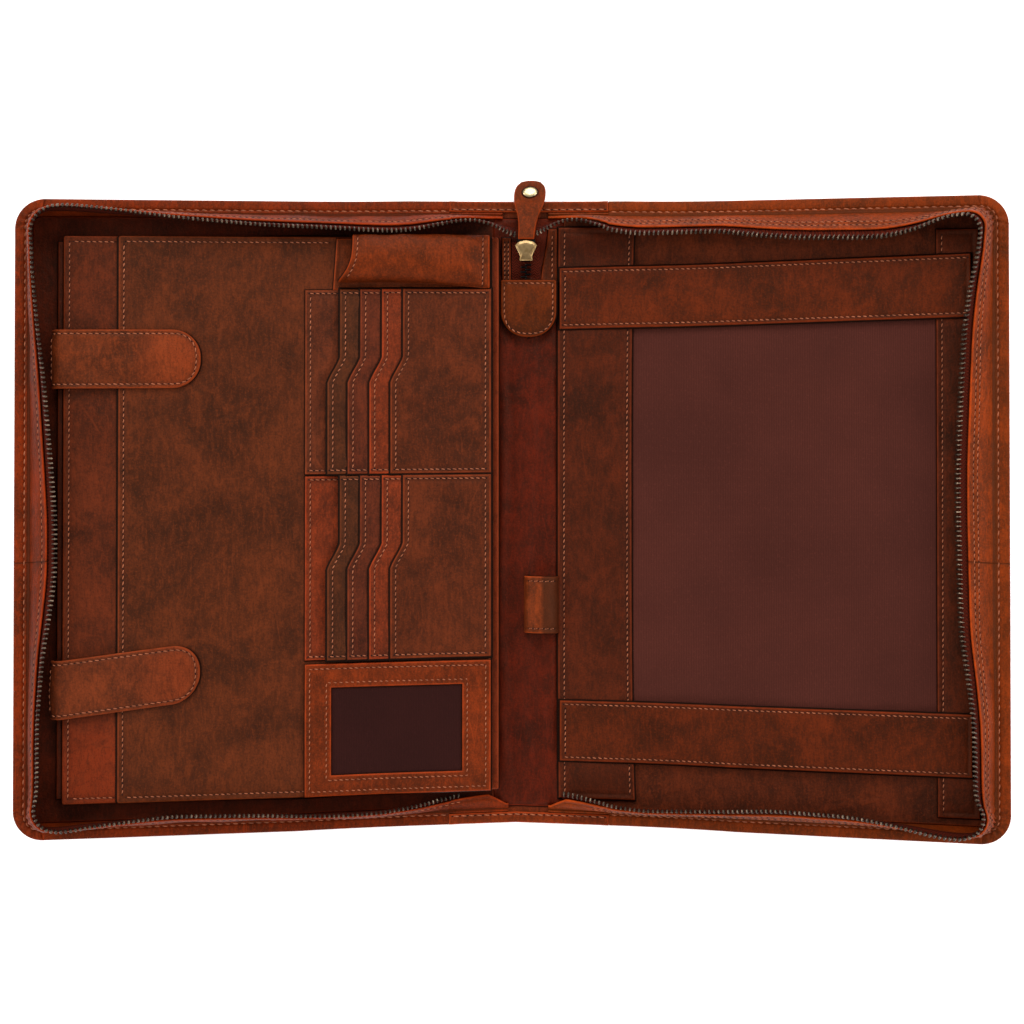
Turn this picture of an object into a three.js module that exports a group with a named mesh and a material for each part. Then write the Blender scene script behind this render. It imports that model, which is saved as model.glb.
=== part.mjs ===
// A zip-around leather document case, lying open on its back.
// Millimetres, +Z up, +Y towards the pull tab. The origin is under the middle of the spine.
// Every piece is laid out flat as (u, v, w): u out from the spine, v along it, w up from the
// surface. One function, drape, then tips the two covers up as the real ones lie: their outer
// edges drop a little, they spread at the lower end, and the spine is drawn in.
import * as THREE from "three";

// The covers and how they lie
const caseHeight = 344.6;
const leftWidth = 270.5;
const rightWidth = 265;
const cornerRadius = 16;
const flatHalf = 60;
const bendLength = 60;
const leftBendRadius = 450;
const rightBendRadius = 280;
const outerEdgeDrop = 3.5;
const lowerSpread = 0.005;
const spineWaist = { top: 1.1, bottom: 2.8 };
const waistReach = { top: 60, bottom: 120 };
const bendSteps = 6;

// Leather, cloth and the room between pieces
const gap = 0.3;
const strapGap = 0.5;
const shellLeather = 2.2;
const liningLeather = 1.2;
const panelLeather = 1.4;
const slotLeather = 1;
const bandLeather = 1.4;
const strapLeather = 2;
const cloth = 0.8;

// The gusset, its flange and the zip on it
const flangeWidth = 8;
const gussetSlant = 21;
const gussetLeather = 1.2;
const gussetSeamRise = 149.1;
const spineSeamLeft = 35;
const spineSeamRight = 49;
const hemOverlap = 1.8;
const gussetCorner = 6;
const zipCorner = 15;
const leatherShare = 0.72;
const tapeStart = 0.62;
const tapeThick = 1;
const tapeRoom = 0.5;
const endFold = { left: { top: 35, bottom: 15 }, right: { top: 49, bottom: 27 } };
const teethWide = 3;
const teethThick = 2.4;
const teethRoom = 0.9;
const leastLeather = 0.3;
const zipStarts = {
  left: { leatherTop: 7, zipBottom: 31, leatherBottom: 4 },
  right: { leatherTop: 17, zipBottom: 25, leatherBottom: 17 },
};
const nearStops = [7, 14, 20, 27, 41, 46, 53];
const outerSteps = 7;
const sideSteps = 14;
const cornerStops = [0.2, 0.4, 0.6, 0.8];

// The slider, its pull tab and the zip's tail
const sliderU = 5.4;
const sliderDrop = 19.5;
const sliderClear = 0.5;
const sliderBody = { wide: 10.6, long: 14.6, low: 8.6, tall: 3.9, corner: 1.5 };
const sliderPlate = { wide: 11.9, waist: 8.1, long: 11.5, tall: 2.4, setBack: 3.2 };
const plateShoulder = { peakWide: 0.36, peakAt: 0.1, shoulderAt: 0.28, waistAt: 0.62 };
const pullTab = { long: 33.4, wide: 17.3, neck: 9.2, thick: 2.2, farLow: 5.4, clear: 0.8, lean: 0.085 };
const tabCurve = { tip: 0.44, hipAt: 0.57, hip: 4, neck: 1 };
const rivet = { diameter: 7, tall: 1.6, fromTip: 6.9, sides: 16 };
const tailChain = { wide: 5.6, tall: 2 };
const tailTape = { left: -7, right: 13, underSlider: 11.5 };
const tailStrip = { left: 13.9, right: 22.4, drop: 15.5 };
const endCover = { left: -8.2, right: 21.8, drop: 44, long: 31.2, thick: 2.2, roundSteps: 8 };
const tailReach = 14;
const tailBend = 2;

// The organiser panel on the left half
const organiserSide = 26.5;
const organiserTop = 21;
const organiserBottom = 20;
const organiserInner = 9.5;
const panelCorner = 1;
const borderBar = 4.6;
const pocketDepth = 4.5;
const pocketInset = 6;
const underPeek = 3;
const slipStart = 29;
const docStrap = { long: 72.7, wide: 31.4, foot: 12, tip: 15, room: 1.4, turnSteps: 8 };
const strapPlaces = { upperDrop: 87, lowerRise: 81.3, lowerTurn: 0.115 };

// Card slots, the window and the pen pouch on the organiser
const cardBlock = { wide: 102, deep: 99.5, top: 50, between: 1.4 };
const slotPitch = [19.5, 30.8, 43, 54.8];
const slotStep = 7;
const slotStepFrom = 36.5;
const slotStepDeep = 14;
const slotTail = 20;
const slotRise = 2.4;
const windowFrame = { deep: 71, left: 14.5, right: 15.2, top: 12.3, bottom: 11.5, inset: 3 };
const pouch = { long: 76, deep: 24.5, tall: 12.5, wall: 1.4, lean: 4.5, flare: 3.2, mouthBow: 2 };
const pouchFlap = { long: 86, deep: 25.5, skew: 2, inset: 1 };
const archSteps = 10;

// The pen loop on the spine and the pad holder on the right half
const penLoop = { wide: 17.8, tall: 10, long: 31.4, rise: 106.3, wall: 1.2 };
const liningEdgeLeft = 12;
const liningEdgeRight = 26;
const bandInner = 23;
const bandWidth = 40;
const bandOuter = 37.5;
const bandEnd = 16;
const bandShort = { left: 7, rightTop: 10.3, rightBottom: 5.8 };
const padStrap = { deep: 33, start: 24, end: 20, topDrop: 37.5, topTurn: 0.026, bottomRise: 35.9 };
const clothTuck = 3;

const leftHalf = { width: leftWidth, bendRadius: leftBendRadius, sign: -1 };
const rightHalf = { width: rightWidth, bendRadius: rightBendRadius, sign: 1 };
const halfHeight = caseHeight / 2;
const baseV = halfHeight - flangeWidth;
const sliderTop = halfHeight - sliderDrop;
const coverTop = halfHeight - endCover.drop;

// Heights of the layers above the surface
const footLow = shellLeather + gap;
const footTop = footLow + gussetLeather;
const liningTop = footLow + liningLeather;
const clothLow = liningTop + gap;
const bandLow = clothLow + cloth + gap;
const padStrapLow = bandLow + bandLeather + gap;
const underLow = liningTop + gap + pocketDepth + gap;
const backLow = underLow + liningLeather + gap;
const slipLow = backLow + panelLeather + gap;
const blockLow = slipLow + liningLeather + gap;
const leafLow = blockLow + slotLeather + gap;
const docStrapLow = slipLow + liningLeather + strapGap;

// How far the zip line leans in from the flange, and how high it stands, round each half.
// at: share of the half width, or of the side from the top corner down. lean: share of the
// gusset's slant. tall: share of the height that the slant then leaves.
const zipLine = {
  left: {
    top: [
      { at: 0, lean: 0.55, tall: 0.38 },
      { at: 0.025, lean: 0.42, tall: 0.66 },
      { at: 0.05, lean: 0.25, tall: 0.88 },
      { at: 0.09, lean: 0.19, tall: 1 },
      { at: 0.15, lean: 0.3, tall: 1 },
      { at: 0.21, lean: 0.47, tall: 1 },
      { at: 0.27, lean: 0.47, tall: 1 },
      { at: 0.36, lean: 0.4, tall: 1 },
      { at: 0.52, lean: 0.33, tall: 1 },
      { at: 0.675, lean: 0.18, tall: 1 },
      { at: 0.83, lean: -0.05, tall: 1 },
      { at: 0.9, lean: -0.12, tall: 1 },
    ],
    side: [
      { at: 0.05, lean: 0.11, tall: 1 },
      { at: 0.18, lean: 0.28, tall: 1 },
      { at: 0.25, lean: 0.4, tall: 1 },
      { at: 0.39, lean: 0.56, tall: 1 },
      { at: 0.5, lean: 0.67, tall: 1 },
      { at: 0.6, lean: 0.67, tall: 1 },
      { at: 0.68, lean: 0.53, tall: 1 },
      { at: 0.74, lean: 0.4, tall: 1 },
      { at: 0.86, lean: 0.28, tall: 1 },
      { at: 0.95, lean: 0.28, tall: 1 },
    ],
    bottom: [
      { at: 0.05, lean: 0.5, tall: 0.16 },
      { at: 0.115, lean: 0.38, tall: 0.2 },
      { at: 0.15, lean: 0.27, tall: 0.3 },
      { at: 0.19, lean: 0.19, tall: 0.62 },
      { at: 0.27, lean: 0.1, tall: 1 },
      { at: 0.36, lean: 0.07, tall: 1 },
      { at: 0.52, lean: 0.18, tall: 1 },
      { at: 0.69, lean: 0.23, tall: 1 },
      { at: 0.85, lean: 0.03, tall: 1 },
      { at: 0.905, lean: -0.1, tall: 1 },
    ],
  },
  right: {
    top: [
      { at: 0.041, lean: 0.55, tall: 0.38 },
      { at: 0.06, lean: 0.37, tall: 0.72 },
      { at: 0.09, lean: 0.21, tall: 0.95 },
      { at: 0.12, lean: 0.14, tall: 1 },
      { at: 0.15, lean: 0.27, tall: 1 },
      { at: 0.19, lean: 0.45, tall: 1 },
      { at: 0.23, lean: 0.54, tall: 1 },
      { at: 0.43, lean: 0.48, tall: 1 },
      { at: 0.51, lean: 0.6, tall: 1 },
      { at: 0.59, lean: 0.67, tall: 1 },
      { at: 0.75, lean: 0.7, tall: 1 },
      { at: 0.82, lean: 0.53, tall: 1 },
      { at: 0.87, lean: 0.25, tall: 1 },
      { at: 0.91, lean: 0.17, tall: 1 },
    ],
    side: [
      { at: 0.03, lean: 0.33, tall: 1 },
      { at: 0.08, lean: 0.52, tall: 1 },
      { at: 0.17, lean: 0.7, tall: 1 },
      { at: 0.29, lean: 0.79, tall: 1 },
      { at: 0.41, lean: 0.86, tall: 1 },
      { at: 0.49, lean: 0.86, tall: 1 },
      { at: 0.63, lean: 0.82, tall: 1 },
      { at: 0.7, lean: 0.79, tall: 1 },
      { at: 0.78, lean: 0.62, tall: 1 },
      { at: 0.86, lean: 0.49, tall: 1 },
      { at: 0.95, lean: 0.47, tall: 1 },
    ],
    bottom: [
      { at: 0.095, lean: 0.43, tall: 0.38 },
      { at: 0.13, lean: 0.37, tall: 0.5 },
      { at: 0.2, lean: 0.18, tall: 0.8 },
      { at: 0.26, lean: 0.14, tall: 1 },
      { at: 0.39, lean: 0.21, tall: 1 },
      { at: 0.54, lean: 0.32, tall: 1 },
      { at: 0.69, lean: 0.26, tall: 1 },
      { at: 0.77, lean: 0.11, tall: 1 },
      { at: 0.845, lean: -0.1, tall: 1 },
      { at: 0.9, lean: -0.2, tall: 1 },
    ],
  },
};

function finish(color, roughness, metalness = 0) {
  return new THREE.MeshStandardMaterial({ color, roughness, metalness });
}

const orangeLeather = finish(0x8c4420, 0.55);
const midLeather = finish(0x6e331c, 0.6);
const darkLeather = finish(0x4b2318, 0.65);
const deepLeather = finish(0x3a1a12, 0.7);
const maroonCloth = finish(0x532a22, 0.9);
const tapeCloth = finish(0x5a1f18, 0.85);
const darkMetal = finish(0x2c2a2a, 0.4, 0.9);
const brass = finish(0xc4a66b, 0.35, 0.9);

// The lie of the open case

function halfAt(u) {
  return u < 0 ? leftHalf : rightHalf;
}

function drape([u, v, w]) {
  const half = halfAt(u);
  const out = Math.abs(u);
  const angle = THREE.MathUtils.clamp(out - flatHalf, 0, bendLength) / half.bendRadius;
  const beyond = Math.max(out - flatHalf - bendLength, 0);
  const radius = half.bendRadius;
  const along = Math.min(out, flatHalf) + radius * Math.sin(angle) + beyond * Math.cos(angle);
  const rise = radius * (1 - Math.cos(angle)) + beyond * Math.sin(angle);
  const spread = 1 + lowerSpread * (0.5 - v / caseHeight);
  const end = v < 0 ? "bottom" : "top";
  const waist = spineWaist[end] * (v / halfHeight) * Math.max(1 - out / waistReach[end], 0);
  return new THREE.Vector3(
    Math.sign(u) * (along * spread - w * Math.sin(angle)),
    v - waist - (outerEdgeDrop * out) / half.width,
    rise + w * Math.cos(angle),
  );
}

function bendStations() {
  const stations = [0];
  for (let i = 0; i <= bendSteps; i += 1) {
    const out = flatHalf + (bendLength * i) / bendSteps;
    stations.push(-out, out);
  }
  return stations;
}

// Solids from triangles

function meshOf(name, material, triangles) {
  let volume = 0;
  for (const [a, b, c] of triangles) {
    volume += a.dot(new THREE.Vector3().crossVectors(b, c));
  }
  const order = volume < 0 ? [0, 2, 1] : [0, 1, 2];
  const positions = triangles.flatMap((t) => order.flatMap((i) => t[i].toArray()));
  const geometry = new THREE.BufferGeometry();
  geometry.setAttribute("position", new THREE.Float32BufferAttribute(positions, 3));
  geometry.computeVertexNormals();
  const mesh = new THREE.Mesh(geometry, material);
  mesh.name = name;
  return mesh;
}

// The point where an edge meets a station, the same from both of its triangles.
function crossing(a, b, station) {
  const [low, high] = a.x < b.x ? [a, b] : [b, a];
  const share = (station - low.x) / (high.x - low.x);
  return low.clone().lerp(high, share).setX(station);
}

function splitAt(triangles, station) {
  const near = 1e-4;
  return triangles.flatMap((t) => {
    const below = t.filter((p) => p.x < station - near);
    const above = t.filter((p) => p.x > station + near);
    if (!below.length || !above.length) {
      return [t];
    }
    const lone = below.length === 1 ? below[0] : above[0];
    const i = t.indexOf(lone);
    const [b, c] = [t[(i + 1) % 3], t[(i + 2) % 3]];
    const onB = Math.abs(b.x - station) <= near;
    const onC = Math.abs(c.x - station) <= near;
    if (onB || onC) {
      const [far, on] = onB ? [c, b] : [b, c];
      const cut = crossing(lone, far, station);
      return onB
        ? [[lone, on, cut], [cut, on, far]]
        : [[lone, cut, on], [cut, far, on]];
    }
    const cutB = crossing(lone, b, station);
    const cutC = crossing(lone, c, station);
    return [[lone, cutB, cutC], [cutB, b, c], [cutB, c, cutC]];
  });
}

function extrudedTriangles(shape, thick) {
  const extruded = new THREE.ExtrudeGeometry(shape, { depth: thick, bevelEnabled: false });
  const flat = extruded.index ? extruded.toNonIndexed() : extruded;
  const position = flat.getAttribute("position");
  return Array.from({ length: position.count / 3 }, (_, i) =>
    [0, 1, 2].map((k) => new THREE.Vector3().fromBufferAttribute(position, 3 * i + k)),
  );
}

function turnAt(outline, i) {
  const [a, b, c] = [0, 1, 2].map((k) => outline[(i + k) % outline.length]);
  return (b[0] - a[0]) * (c[1] - b[1]) - (b[1] - a[1]) * (c[0] - b[0]);
}

function isConvex(outline) {
  const turns = outline.map((_, i) => turnAt(outline, i)).filter((t) => Math.abs(t) > 1e-6);
  return turns.every((t) => t > 0) || turns.every((t) => t < 0);
}

// The part of a convex outline on one side of a station.
function clipped(outline, station, side) {
  const inside = ([u]) => side * (u - station) >= 0;
  return outline.flatMap((a, i) => {
    const b = outline[(i + 1) % outline.length];
    const kept = inside(a) ? [a] : [];
    if (inside(a) === inside(b) || a[0] === station || b[0] === station) {
      return kept;
    }
    const share = (station - a[0]) / (b[0] - a[0]);
    return [...kept, [station, a[1] + (b[1] - a[1]) * share]];
  });
}

// A convex outline as upright strips between the stations, with few triangles.
function stripTriangles(outline, thick, stations) {
  const across = outline.map(([u]) => u);
  const inner = stations
    .filter((s) => s > Math.min(...across) + gap && s < Math.max(...across) - gap)
    .sort((a, b) => a - b);
  const strips = [];
  let rest = outline;
  for (const station of inner) {
    strips.push(clipped(rest, station, -1));
    rest = clipped(rest, station, 1);
  }
  strips.push(rest);
  const onStation = (a, b) => a[0] === b[0] && inner.includes(a[0]);
  const at = ([u, v], w) => new THREE.Vector3(u, v, w);
  return strips.flatMap((strip) => {
    const lids = strip.slice(2).flatMap((c, i) => [
      [at(strip[0], thick), at(strip[i + 1], thick), at(c, thick)],
      [at(strip[0], 0), at(c, 0), at(strip[i + 1], 0)],
    ]);
    const walls = strip.flatMap((a, i) => {
      const b = strip[(i + 1) % strip.length];
      return onStation(a, b)
        ? []
        : [[at(a, 0), at(b, 0), at(b, thick)], [at(a, 0), at(b, thick), at(a, thick)]];
    });
    return [...lids, ...walls];
  });
}

// A flat piece of leather or cloth: an outline in u and v, extruded up from low by thick.
// place turns (u, v, w) of the flat piece into (u, v, w) on the case.
function sheet(name, material, outline, low, thick, options = {}) {
  const { holes = [], cuts = [], place = (u, v, w) => [u, v, w] } = options;
  const shape = new THREE.Shape(outline.map(([u, v]) => new THREE.Vector2(u, v)));
  for (const hole of holes) {
    shape.holes.push(new THREE.Path(hole.map(([u, v]) => new THREE.Vector2(u, v))));
  }
  const stations = cuts.length ? cuts : bendStations();
  const triangles = holes.length || !isConvex(outline)
    ? stations.reduce(splitAt, extrudedTriangles(shape, thick))
    : stripTriangles(outline, thick, stations);
  const draped = triangles.map((t) => t.map((p) => drape(place(p.x, p.y, p.z + low))));
  return meshOf(name, material, draped);
}

// A closed skin over rings of equally many points, with the given faces on both ends.
function lofted(name, material, rings, endFaces) {
  const count = rings[0].length;
  const placed = rings.map((ring) => ring.map(drape));
  const triangles = [];
  for (let i = 0; i + 1 < placed.length; i += 1) {
    for (let k = 0; k < count; k += 1) {
      const next = (k + 1) % count;
      const [a, b] = [placed[i][k], placed[i][next]];
      const [c, d] = [placed[i + 1][next], placed[i + 1][k]];
      triangles.push([a, b, c], [a, c, d]);
    }
  }
  const last = placed[placed.length - 1];
  for (const [a, b, c] of endFaces) {
    triangles.push([placed[0][a], placed[0][c], placed[0][b]]);
    triangles.push([last[a], last[b], last[c]]);
  }
  return meshOf(name, material, triangles);
}

// A tube with a wall: outer and inner rings, open at the first ring, and closed or open at the
// last one.
function hollow(name, material, outer, inner, closedEnd) {
  const [out, inn] = [outer, inner].map((rings) => rings.map((ring) => ring.map(drape)));
  const count = out[0].length;
  const triangles = [];
  const skin = (rings, flip) => {
    for (let i = 0; i + 1 < rings.length; i += 1) {
      for (let k = 0; k < count; k += 1) {
        const next = (k + 1) % count;
        const quad = [rings[i][k], rings[i][next], rings[i + 1][next], rings[i + 1][k]];
        const [a, b, c, d] = flip ? quad.reverse() : quad;
        triangles.push([a, b, c], [a, c, d]);
      }
    }
  };
  const rim = (a, b, flip) => {
    for (let k = 0; k < count; k += 1) {
      const next = (k + 1) % count;
      const quad = [a[k], b[k], b[next], a[next]];
      const [p, q, r, s] = flip ? quad.reverse() : quad;
      triangles.push([p, q, r], [p, r, s]);
    }
  };
  const lid = (ring, flip) => {
    for (let k = 1; k + 1 < count; k += 1) {
      triangles.push(flip ? [ring[0], ring[k + 1], ring[k]] : [ring[0], ring[k], ring[k + 1]]);
    }
  };
  skin(out, false);
  skin(inn, true);
  rim(out[0], inn[0], false);
  if (closedEnd) {
    lid(out[out.length - 1], false);
    lid(inn[inn.length - 1], true);
  } else {
    rim(out[out.length - 1], inn[inn.length - 1], true);
  }
  return meshOf(name, material, triangles);
}

// Outlines

// A polygon whose corners [u, v, radius] are rounded by arcs.
function rounded(corners, steps = 5) {
  return corners.flatMap(([u, v, radius], i) => {
    if (!radius) {
      return [[u, v]];
    }
    const here = new THREE.Vector2(u, v);
    const before = corners[(i + corners.length - 1) % corners.length];
    const after = corners[(i + 1) % corners.length];
    const back = new THREE.Vector2(before[0], before[1]).sub(here).normalize();
    const on = new THREE.Vector2(after[0], after[1]).sub(here).normalize();
    const half = Math.acos(THREE.MathUtils.clamp(back.dot(on), -1, 1)) / 2;
    const reach = radius / Math.tan(half);
    const middle = back.clone().add(on).normalize().multiplyScalar(radius / Math.sin(half)).add(here);
    const start = back.clone().multiplyScalar(reach).add(here).sub(middle);
    const end = on.clone().multiplyScalar(reach).add(here).sub(middle);
    const turn = Math.atan2(start.cross(end), start.dot(end));
    return Array.from({ length: steps + 1 }, (_, k) => {
      const point = start.clone().rotateAround(new THREE.Vector2(), (turn * k) / steps).add(middle);
      return [point.x, point.y];
    });
  });
}

function rectangle(left, right, bottom, top, radius = 0) {
  return rounded([
    [left, bottom, radius],
    [right, bottom, radius],
    [right, top, radius],
    [left, top, radius],
  ]);
}

// The outer leather and the inner leather

function shellPieces() {
  const shell = rectangle(-leftWidth, rightWidth, -halfHeight, halfHeight, cornerRadius);
  const clear = flangeWidth + gussetLeather + gap;
  const far = baseV - gussetLeather - gap;
  const inner = gussetCorner - gussetLeather;
  const left = rounded([
    [-leftWidth + clear, -far, inner],
    [-liningEdgeLeft - gap, -far, 0],
    [-liningEdgeLeft - gap, far, 0],
    [-leftWidth + clear, far, inner],
  ]);
  const right = rounded([
    [liningEdgeRight + gap, -far, 0],
    [rightWidth - clear, -far, inner],
    [rightWidth - clear, far, inner],
    [liningEdgeRight + gap, far, 0],
  ]);
  const spine = rectangle(-liningEdgeLeft, liningEdgeRight, -far, far);
  return [
    sheet("outer_shell", orangeLeather, shell, 0, shellLeather),
    sheet("lining_left", deepLeather, left, footLow, liningLeather),
    sheet("lining_spine", midLeather, spine, footLow, liningLeather),
    sheet("lining_right", darkLeather, right, footLow, liningLeather),
    ...spineHems(),
  ];
}

// The two edge bands that close the spine's ends between the gussets.
function spineHems() {
  return [1, -1].map((end) => {
    const inner = baseV + hemOverlap + gap;
    const band = rectangle(
      -spineSeamLeft + gap,
      spineSeamRight - gap,
      Math.min(end * inner, end * halfHeight),
      Math.max(end * inner, end * halfHeight),
    );
    const name = end > 0 ? "spine_hem_top" : "spine_hem_bottom";
    return sheet(name, orangeLeather, band, footLow, gussetLeather);
  });
}

// The gusset, its tape and its teeth, as stations round each half

function between(rows, at) {
  if (at <= rows[0].at) {
    return rows[0];
  }
  const next = rows.findIndex((row) => row.at >= at);
  if (next < 0) {
    return rows[rows.length - 1];
  }
  const [a, b] = [rows[next - 1], rows[next]];
  const share = (at - a.at) / (b.at - a.at);
  return { lean: a.lean + (b.lean - a.lean) * share, tall: a.tall + (b.tall - a.tall) * share };
}

// One station of the zip line: the foot point of the gusset, the way in, and its lean and height.
function station(half, leg, at) {
  const rows = half === leftHalf ? zipLine.left : zipLine.right;
  const baseU = half.width - flangeWidth;
  const sign = half.sign;
  if (leg === "top" || leg === "bottom") {
    const end = leg === "top" ? 1 : -1;
    const inward = [0, -end];
    const farU = baseU - zipCorner;
    const row = between(rows[leg], (farU * at) / half.width);
    const footU = at * (baseU - gussetCorner);
    return {
      foot: [sign * footU, end * baseV],
      line: [sign * farU * at, end * baseV],
      inward,
      row,
      out: farU * at,
    };
  }
  if (leg === "side") {
    const v = (1 - 2 * at) * (baseV - gussetCorner);
    const lineV = (1 - 2 * at) * (baseV - zipCorner);
    return {
      foot: [sign * baseU, v],
      line: [sign * baseU, lineV],
      inward: [-sign, 0],
      row: between(rows.side, at),
      out: baseU,
    };
  }
  const end = leg === "topCorner" ? 1 : -1;
  const angle = (at * Math.PI) / 2;
  const outward = [sign * Math.sin(angle), end * Math.cos(angle)];
  const before = between(end > 0 ? rows.top : rows.bottom, 1);
  const after = between(rows.side, end > 0 ? 0 : 1);
  const arc = (radius) => [
    sign * (baseU - radius) + radius * outward[0],
    end * (baseV - radius) + radius * outward[1],
  ];
  return {
    foot: arc(gussetCorner),
    line: arc(zipCorner),
    inward: [-outward[0], -outward[1]],
    row: {
      lean: before.lean + (after.lean - before.lean) * at,
      tall: before.tall + (after.tall - before.tall) * at,
    },
    out: baseU,
  };
}

// The section's own frame at a station: where the tape starts and ends, its way up and its face.
function sectionFrame(stop) {
  const [footU, footV] = stop.foot;
  const [inU, inV] = stop.inward;
  const behind = gussetLeather + tapeRoom + tapeThick / 2;
  const lean = stop.row.lean * gussetSlant;
  const height = stop.row.tall * Math.sqrt(gussetSlant ** 2 - lean ** 2);
  const start = new THREE.Vector3(footU + inU * behind, footV + inV * behind, footTop);
  const end = new THREE.Vector3(
    stop.line[0] + inU * (lean + behind / 2),
    stop.line[1] + inV * (lean + behind / 2),
    footTop + height,
  );
  const rise = new THREE.Vector2(lean - behind / 2, height).normalize();
  const face = new THREE.Vector3(-inU * rise.y, -inV * rise.y, rise.x);
  const up = end.clone().sub(start).normalize();
  return { start, end, up, face };
}

function listOf(vector) {
  return vector.toArray();
}

function gussetRing(stop) {
  const { start, end, face } = sectionFrame(stop);
  const [footU, footV] = stop.foot;
  const [inU, inV] = stop.inward;
  const onSpine = stop.leg !== "side" && stop.out < stop.seam;
  const foot = onSpine ? hemOverlap : flangeWidth;
  const fold = endFold[footU < 0 ? "left" : "right"][stop.leg] ?? stop.seam;
  const fade = THREE.MathUtils.clamp(stop.out / fold, leastLeather, 1);
  const top = start.clone().lerp(end, leatherShare * fade);
  const outerTop = top.clone().addScaledVector(face, tapeThick / 2 + tapeRoom + gussetLeather);
  const innerTop = top.clone().addScaledVector(face, tapeThick / 2 + tapeRoom);
  const [outU, outV] = stop.rim ?? [footU - inU * foot, footV - inV * foot];
  return [
    [outU, outV, footLow],
    [footU + inU * gussetLeather, footV + inV * gussetLeather, footLow],
    [footU + inU * gussetLeather, footV + inV * gussetLeather, footTop],
    listOf(innerTop),
    listOf(outerTop),
    [footU, footV, footTop],
    [outU, outV, footTop],
  ];
}

const gussetEndFaces = [[0, 1, 2], [0, 2, 5], [0, 5, 6], [2, 3, 4], [2, 4, 5]];
const stripEndFaces = [[0, 1, 2], [0, 2, 3]];

function tapeRing(stop) {
  const { start, end, up, face } = sectionFrame(stop);
  const low = start.clone().lerp(end, tapeStart);
  const high = end.clone().addScaledVector(up, -teethWide / 2 - teethRoom);
  return [
    listOf(low.clone().addScaledVector(face, tapeThick / 2)),
    listOf(low.clone().addScaledVector(face, -tapeThick / 2)),
    listOf(high.clone().addScaledVector(face, -tapeThick / 2)),
    listOf(high.clone().addScaledVector(face, tapeThick / 2)),
  ];
}

function teethRing(stop) {
  const { end, up, face } = sectionFrame(stop);
  const corner = (along, off) =>
    listOf(
      end
        .clone()
        .addScaledVector(up, (along * teethWide) / 2)
        .addScaledVector(face, (off * teethThick) / 2),
    );
  return [corner(-1, 1), corner(-1, -1), corner(1, -1), corner(1, 1)];
}

// Stations along one edge from the spine out, closer where the cover bends and near the spine.
function edgeShares(half, from) {
  const far = half.width - flangeWidth - zipCorner;
  const seam = half === leftHalf ? spineSeamLeft : spineSeamRight;
  const { zipBottom } = half === leftHalf ? zipStarts.left : zipStarts.right;
  const near = [from, ...nearStops, zipBottom, seam - gap / 2, seam + gap / 2];
  const bends = bendStations().filter((out) => out > 0);
  const bendEnd = flatHalf + bendLength;
  const outer = Array.from(
    { length: outerSteps },
    (_, i) => bendEnd + ((far - bendEnd) * (i + 1)) / outerSteps,
  );
  return [...near, ...bends, ...outer]
    .filter((out) => out >= from)
    .sort((a, b) => a - b)
    .filter((out, i, all) => i === 0 || out - all[i - 1] > gap / 2)
    .map((out) => out / far);
}

function stopsRound(half, topFrom, bottomFrom) {
  const sideStops = Array.from({ length: sideSteps + 1 }, (_, i) => i / sideSteps);
  const seam = half === leftHalf ? spineSeamLeft : spineSeamRight;
  const make = (leg) => (at) => ({ leg, at, seam, ...station(half, leg, at) });
  return [
    ...edgeShares(half, topFrom).map(make("top")),
    ...cornerStops.map(make("topCorner")),
    ...sideStops.map(make("side")),
    ...cornerStops.toReversed().map(make("bottomCorner")),
    ...edgeShares(half, bottomFrom).toReversed().map(make("bottom")),
  ];
}

// The gusset's outer edge follows the cover's rounded corner.
function withRim(half, stop) {
  const centreU = half.width - cornerRadius;
  const centreV = halfHeight - cornerRadius;
  if (stop.leg !== "topCorner" && stop.leg !== "bottomCorner") {
    return stop;
  }
  const outward = stop.inward.map((x) => -x);
  const end = stop.leg === "topCorner" ? 1 : -1;
  const rim = [
    half.sign * centreU + cornerRadius * outward[0],
    end * centreV + cornerRadius * outward[1],
  ];
  return { ...stop, rim };
}

function zipPieces(half, side, ends) {
  const seamV = gussetSeamRise - halfHeight;
  const seamAt = (1 - seamV / (baseV - gussetCorner)) / 2;
  const seam = half === leftHalf ? spineSeamLeft : spineSeamRight;
  const make = (at) => ({ leg: "side", at, seam, ...station(half, "side", at) });
  const joint = gap / 2 / caseHeight;
  const leather = stopsRound(half, ends.leatherTop, ends.leatherBottom).map((s) => withRim(half, s));
  const cutIndex = leather.findIndex((s) => s.leg === "side" && s.at > seamAt);
  const upper = [...leather.slice(0, cutIndex), make(seamAt - joint)];
  const lower = [make(seamAt + joint), ...leather.slice(cutIndex)];
  const zip = stopsRound(half, ends.zipTop, ends.zipBottom);
  return [
    lofted(`gusset_${side}_upper`, orangeLeather, upper.map(gussetRing), gussetEndFaces),
    lofted(`gusset_${side}_lower`, orangeLeather, lower.map(gussetRing), gussetEndFaces),
    lofted(`zip_tape_${side}`, tapeCloth, zip.map(tapeRing), stripEndFaces),
    lofted(`zip_teeth_${side}`, darkMetal, zip.map(teethRing), stripEndFaces),
  ];
}

// The slider, pull tab and tail of the zip

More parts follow.
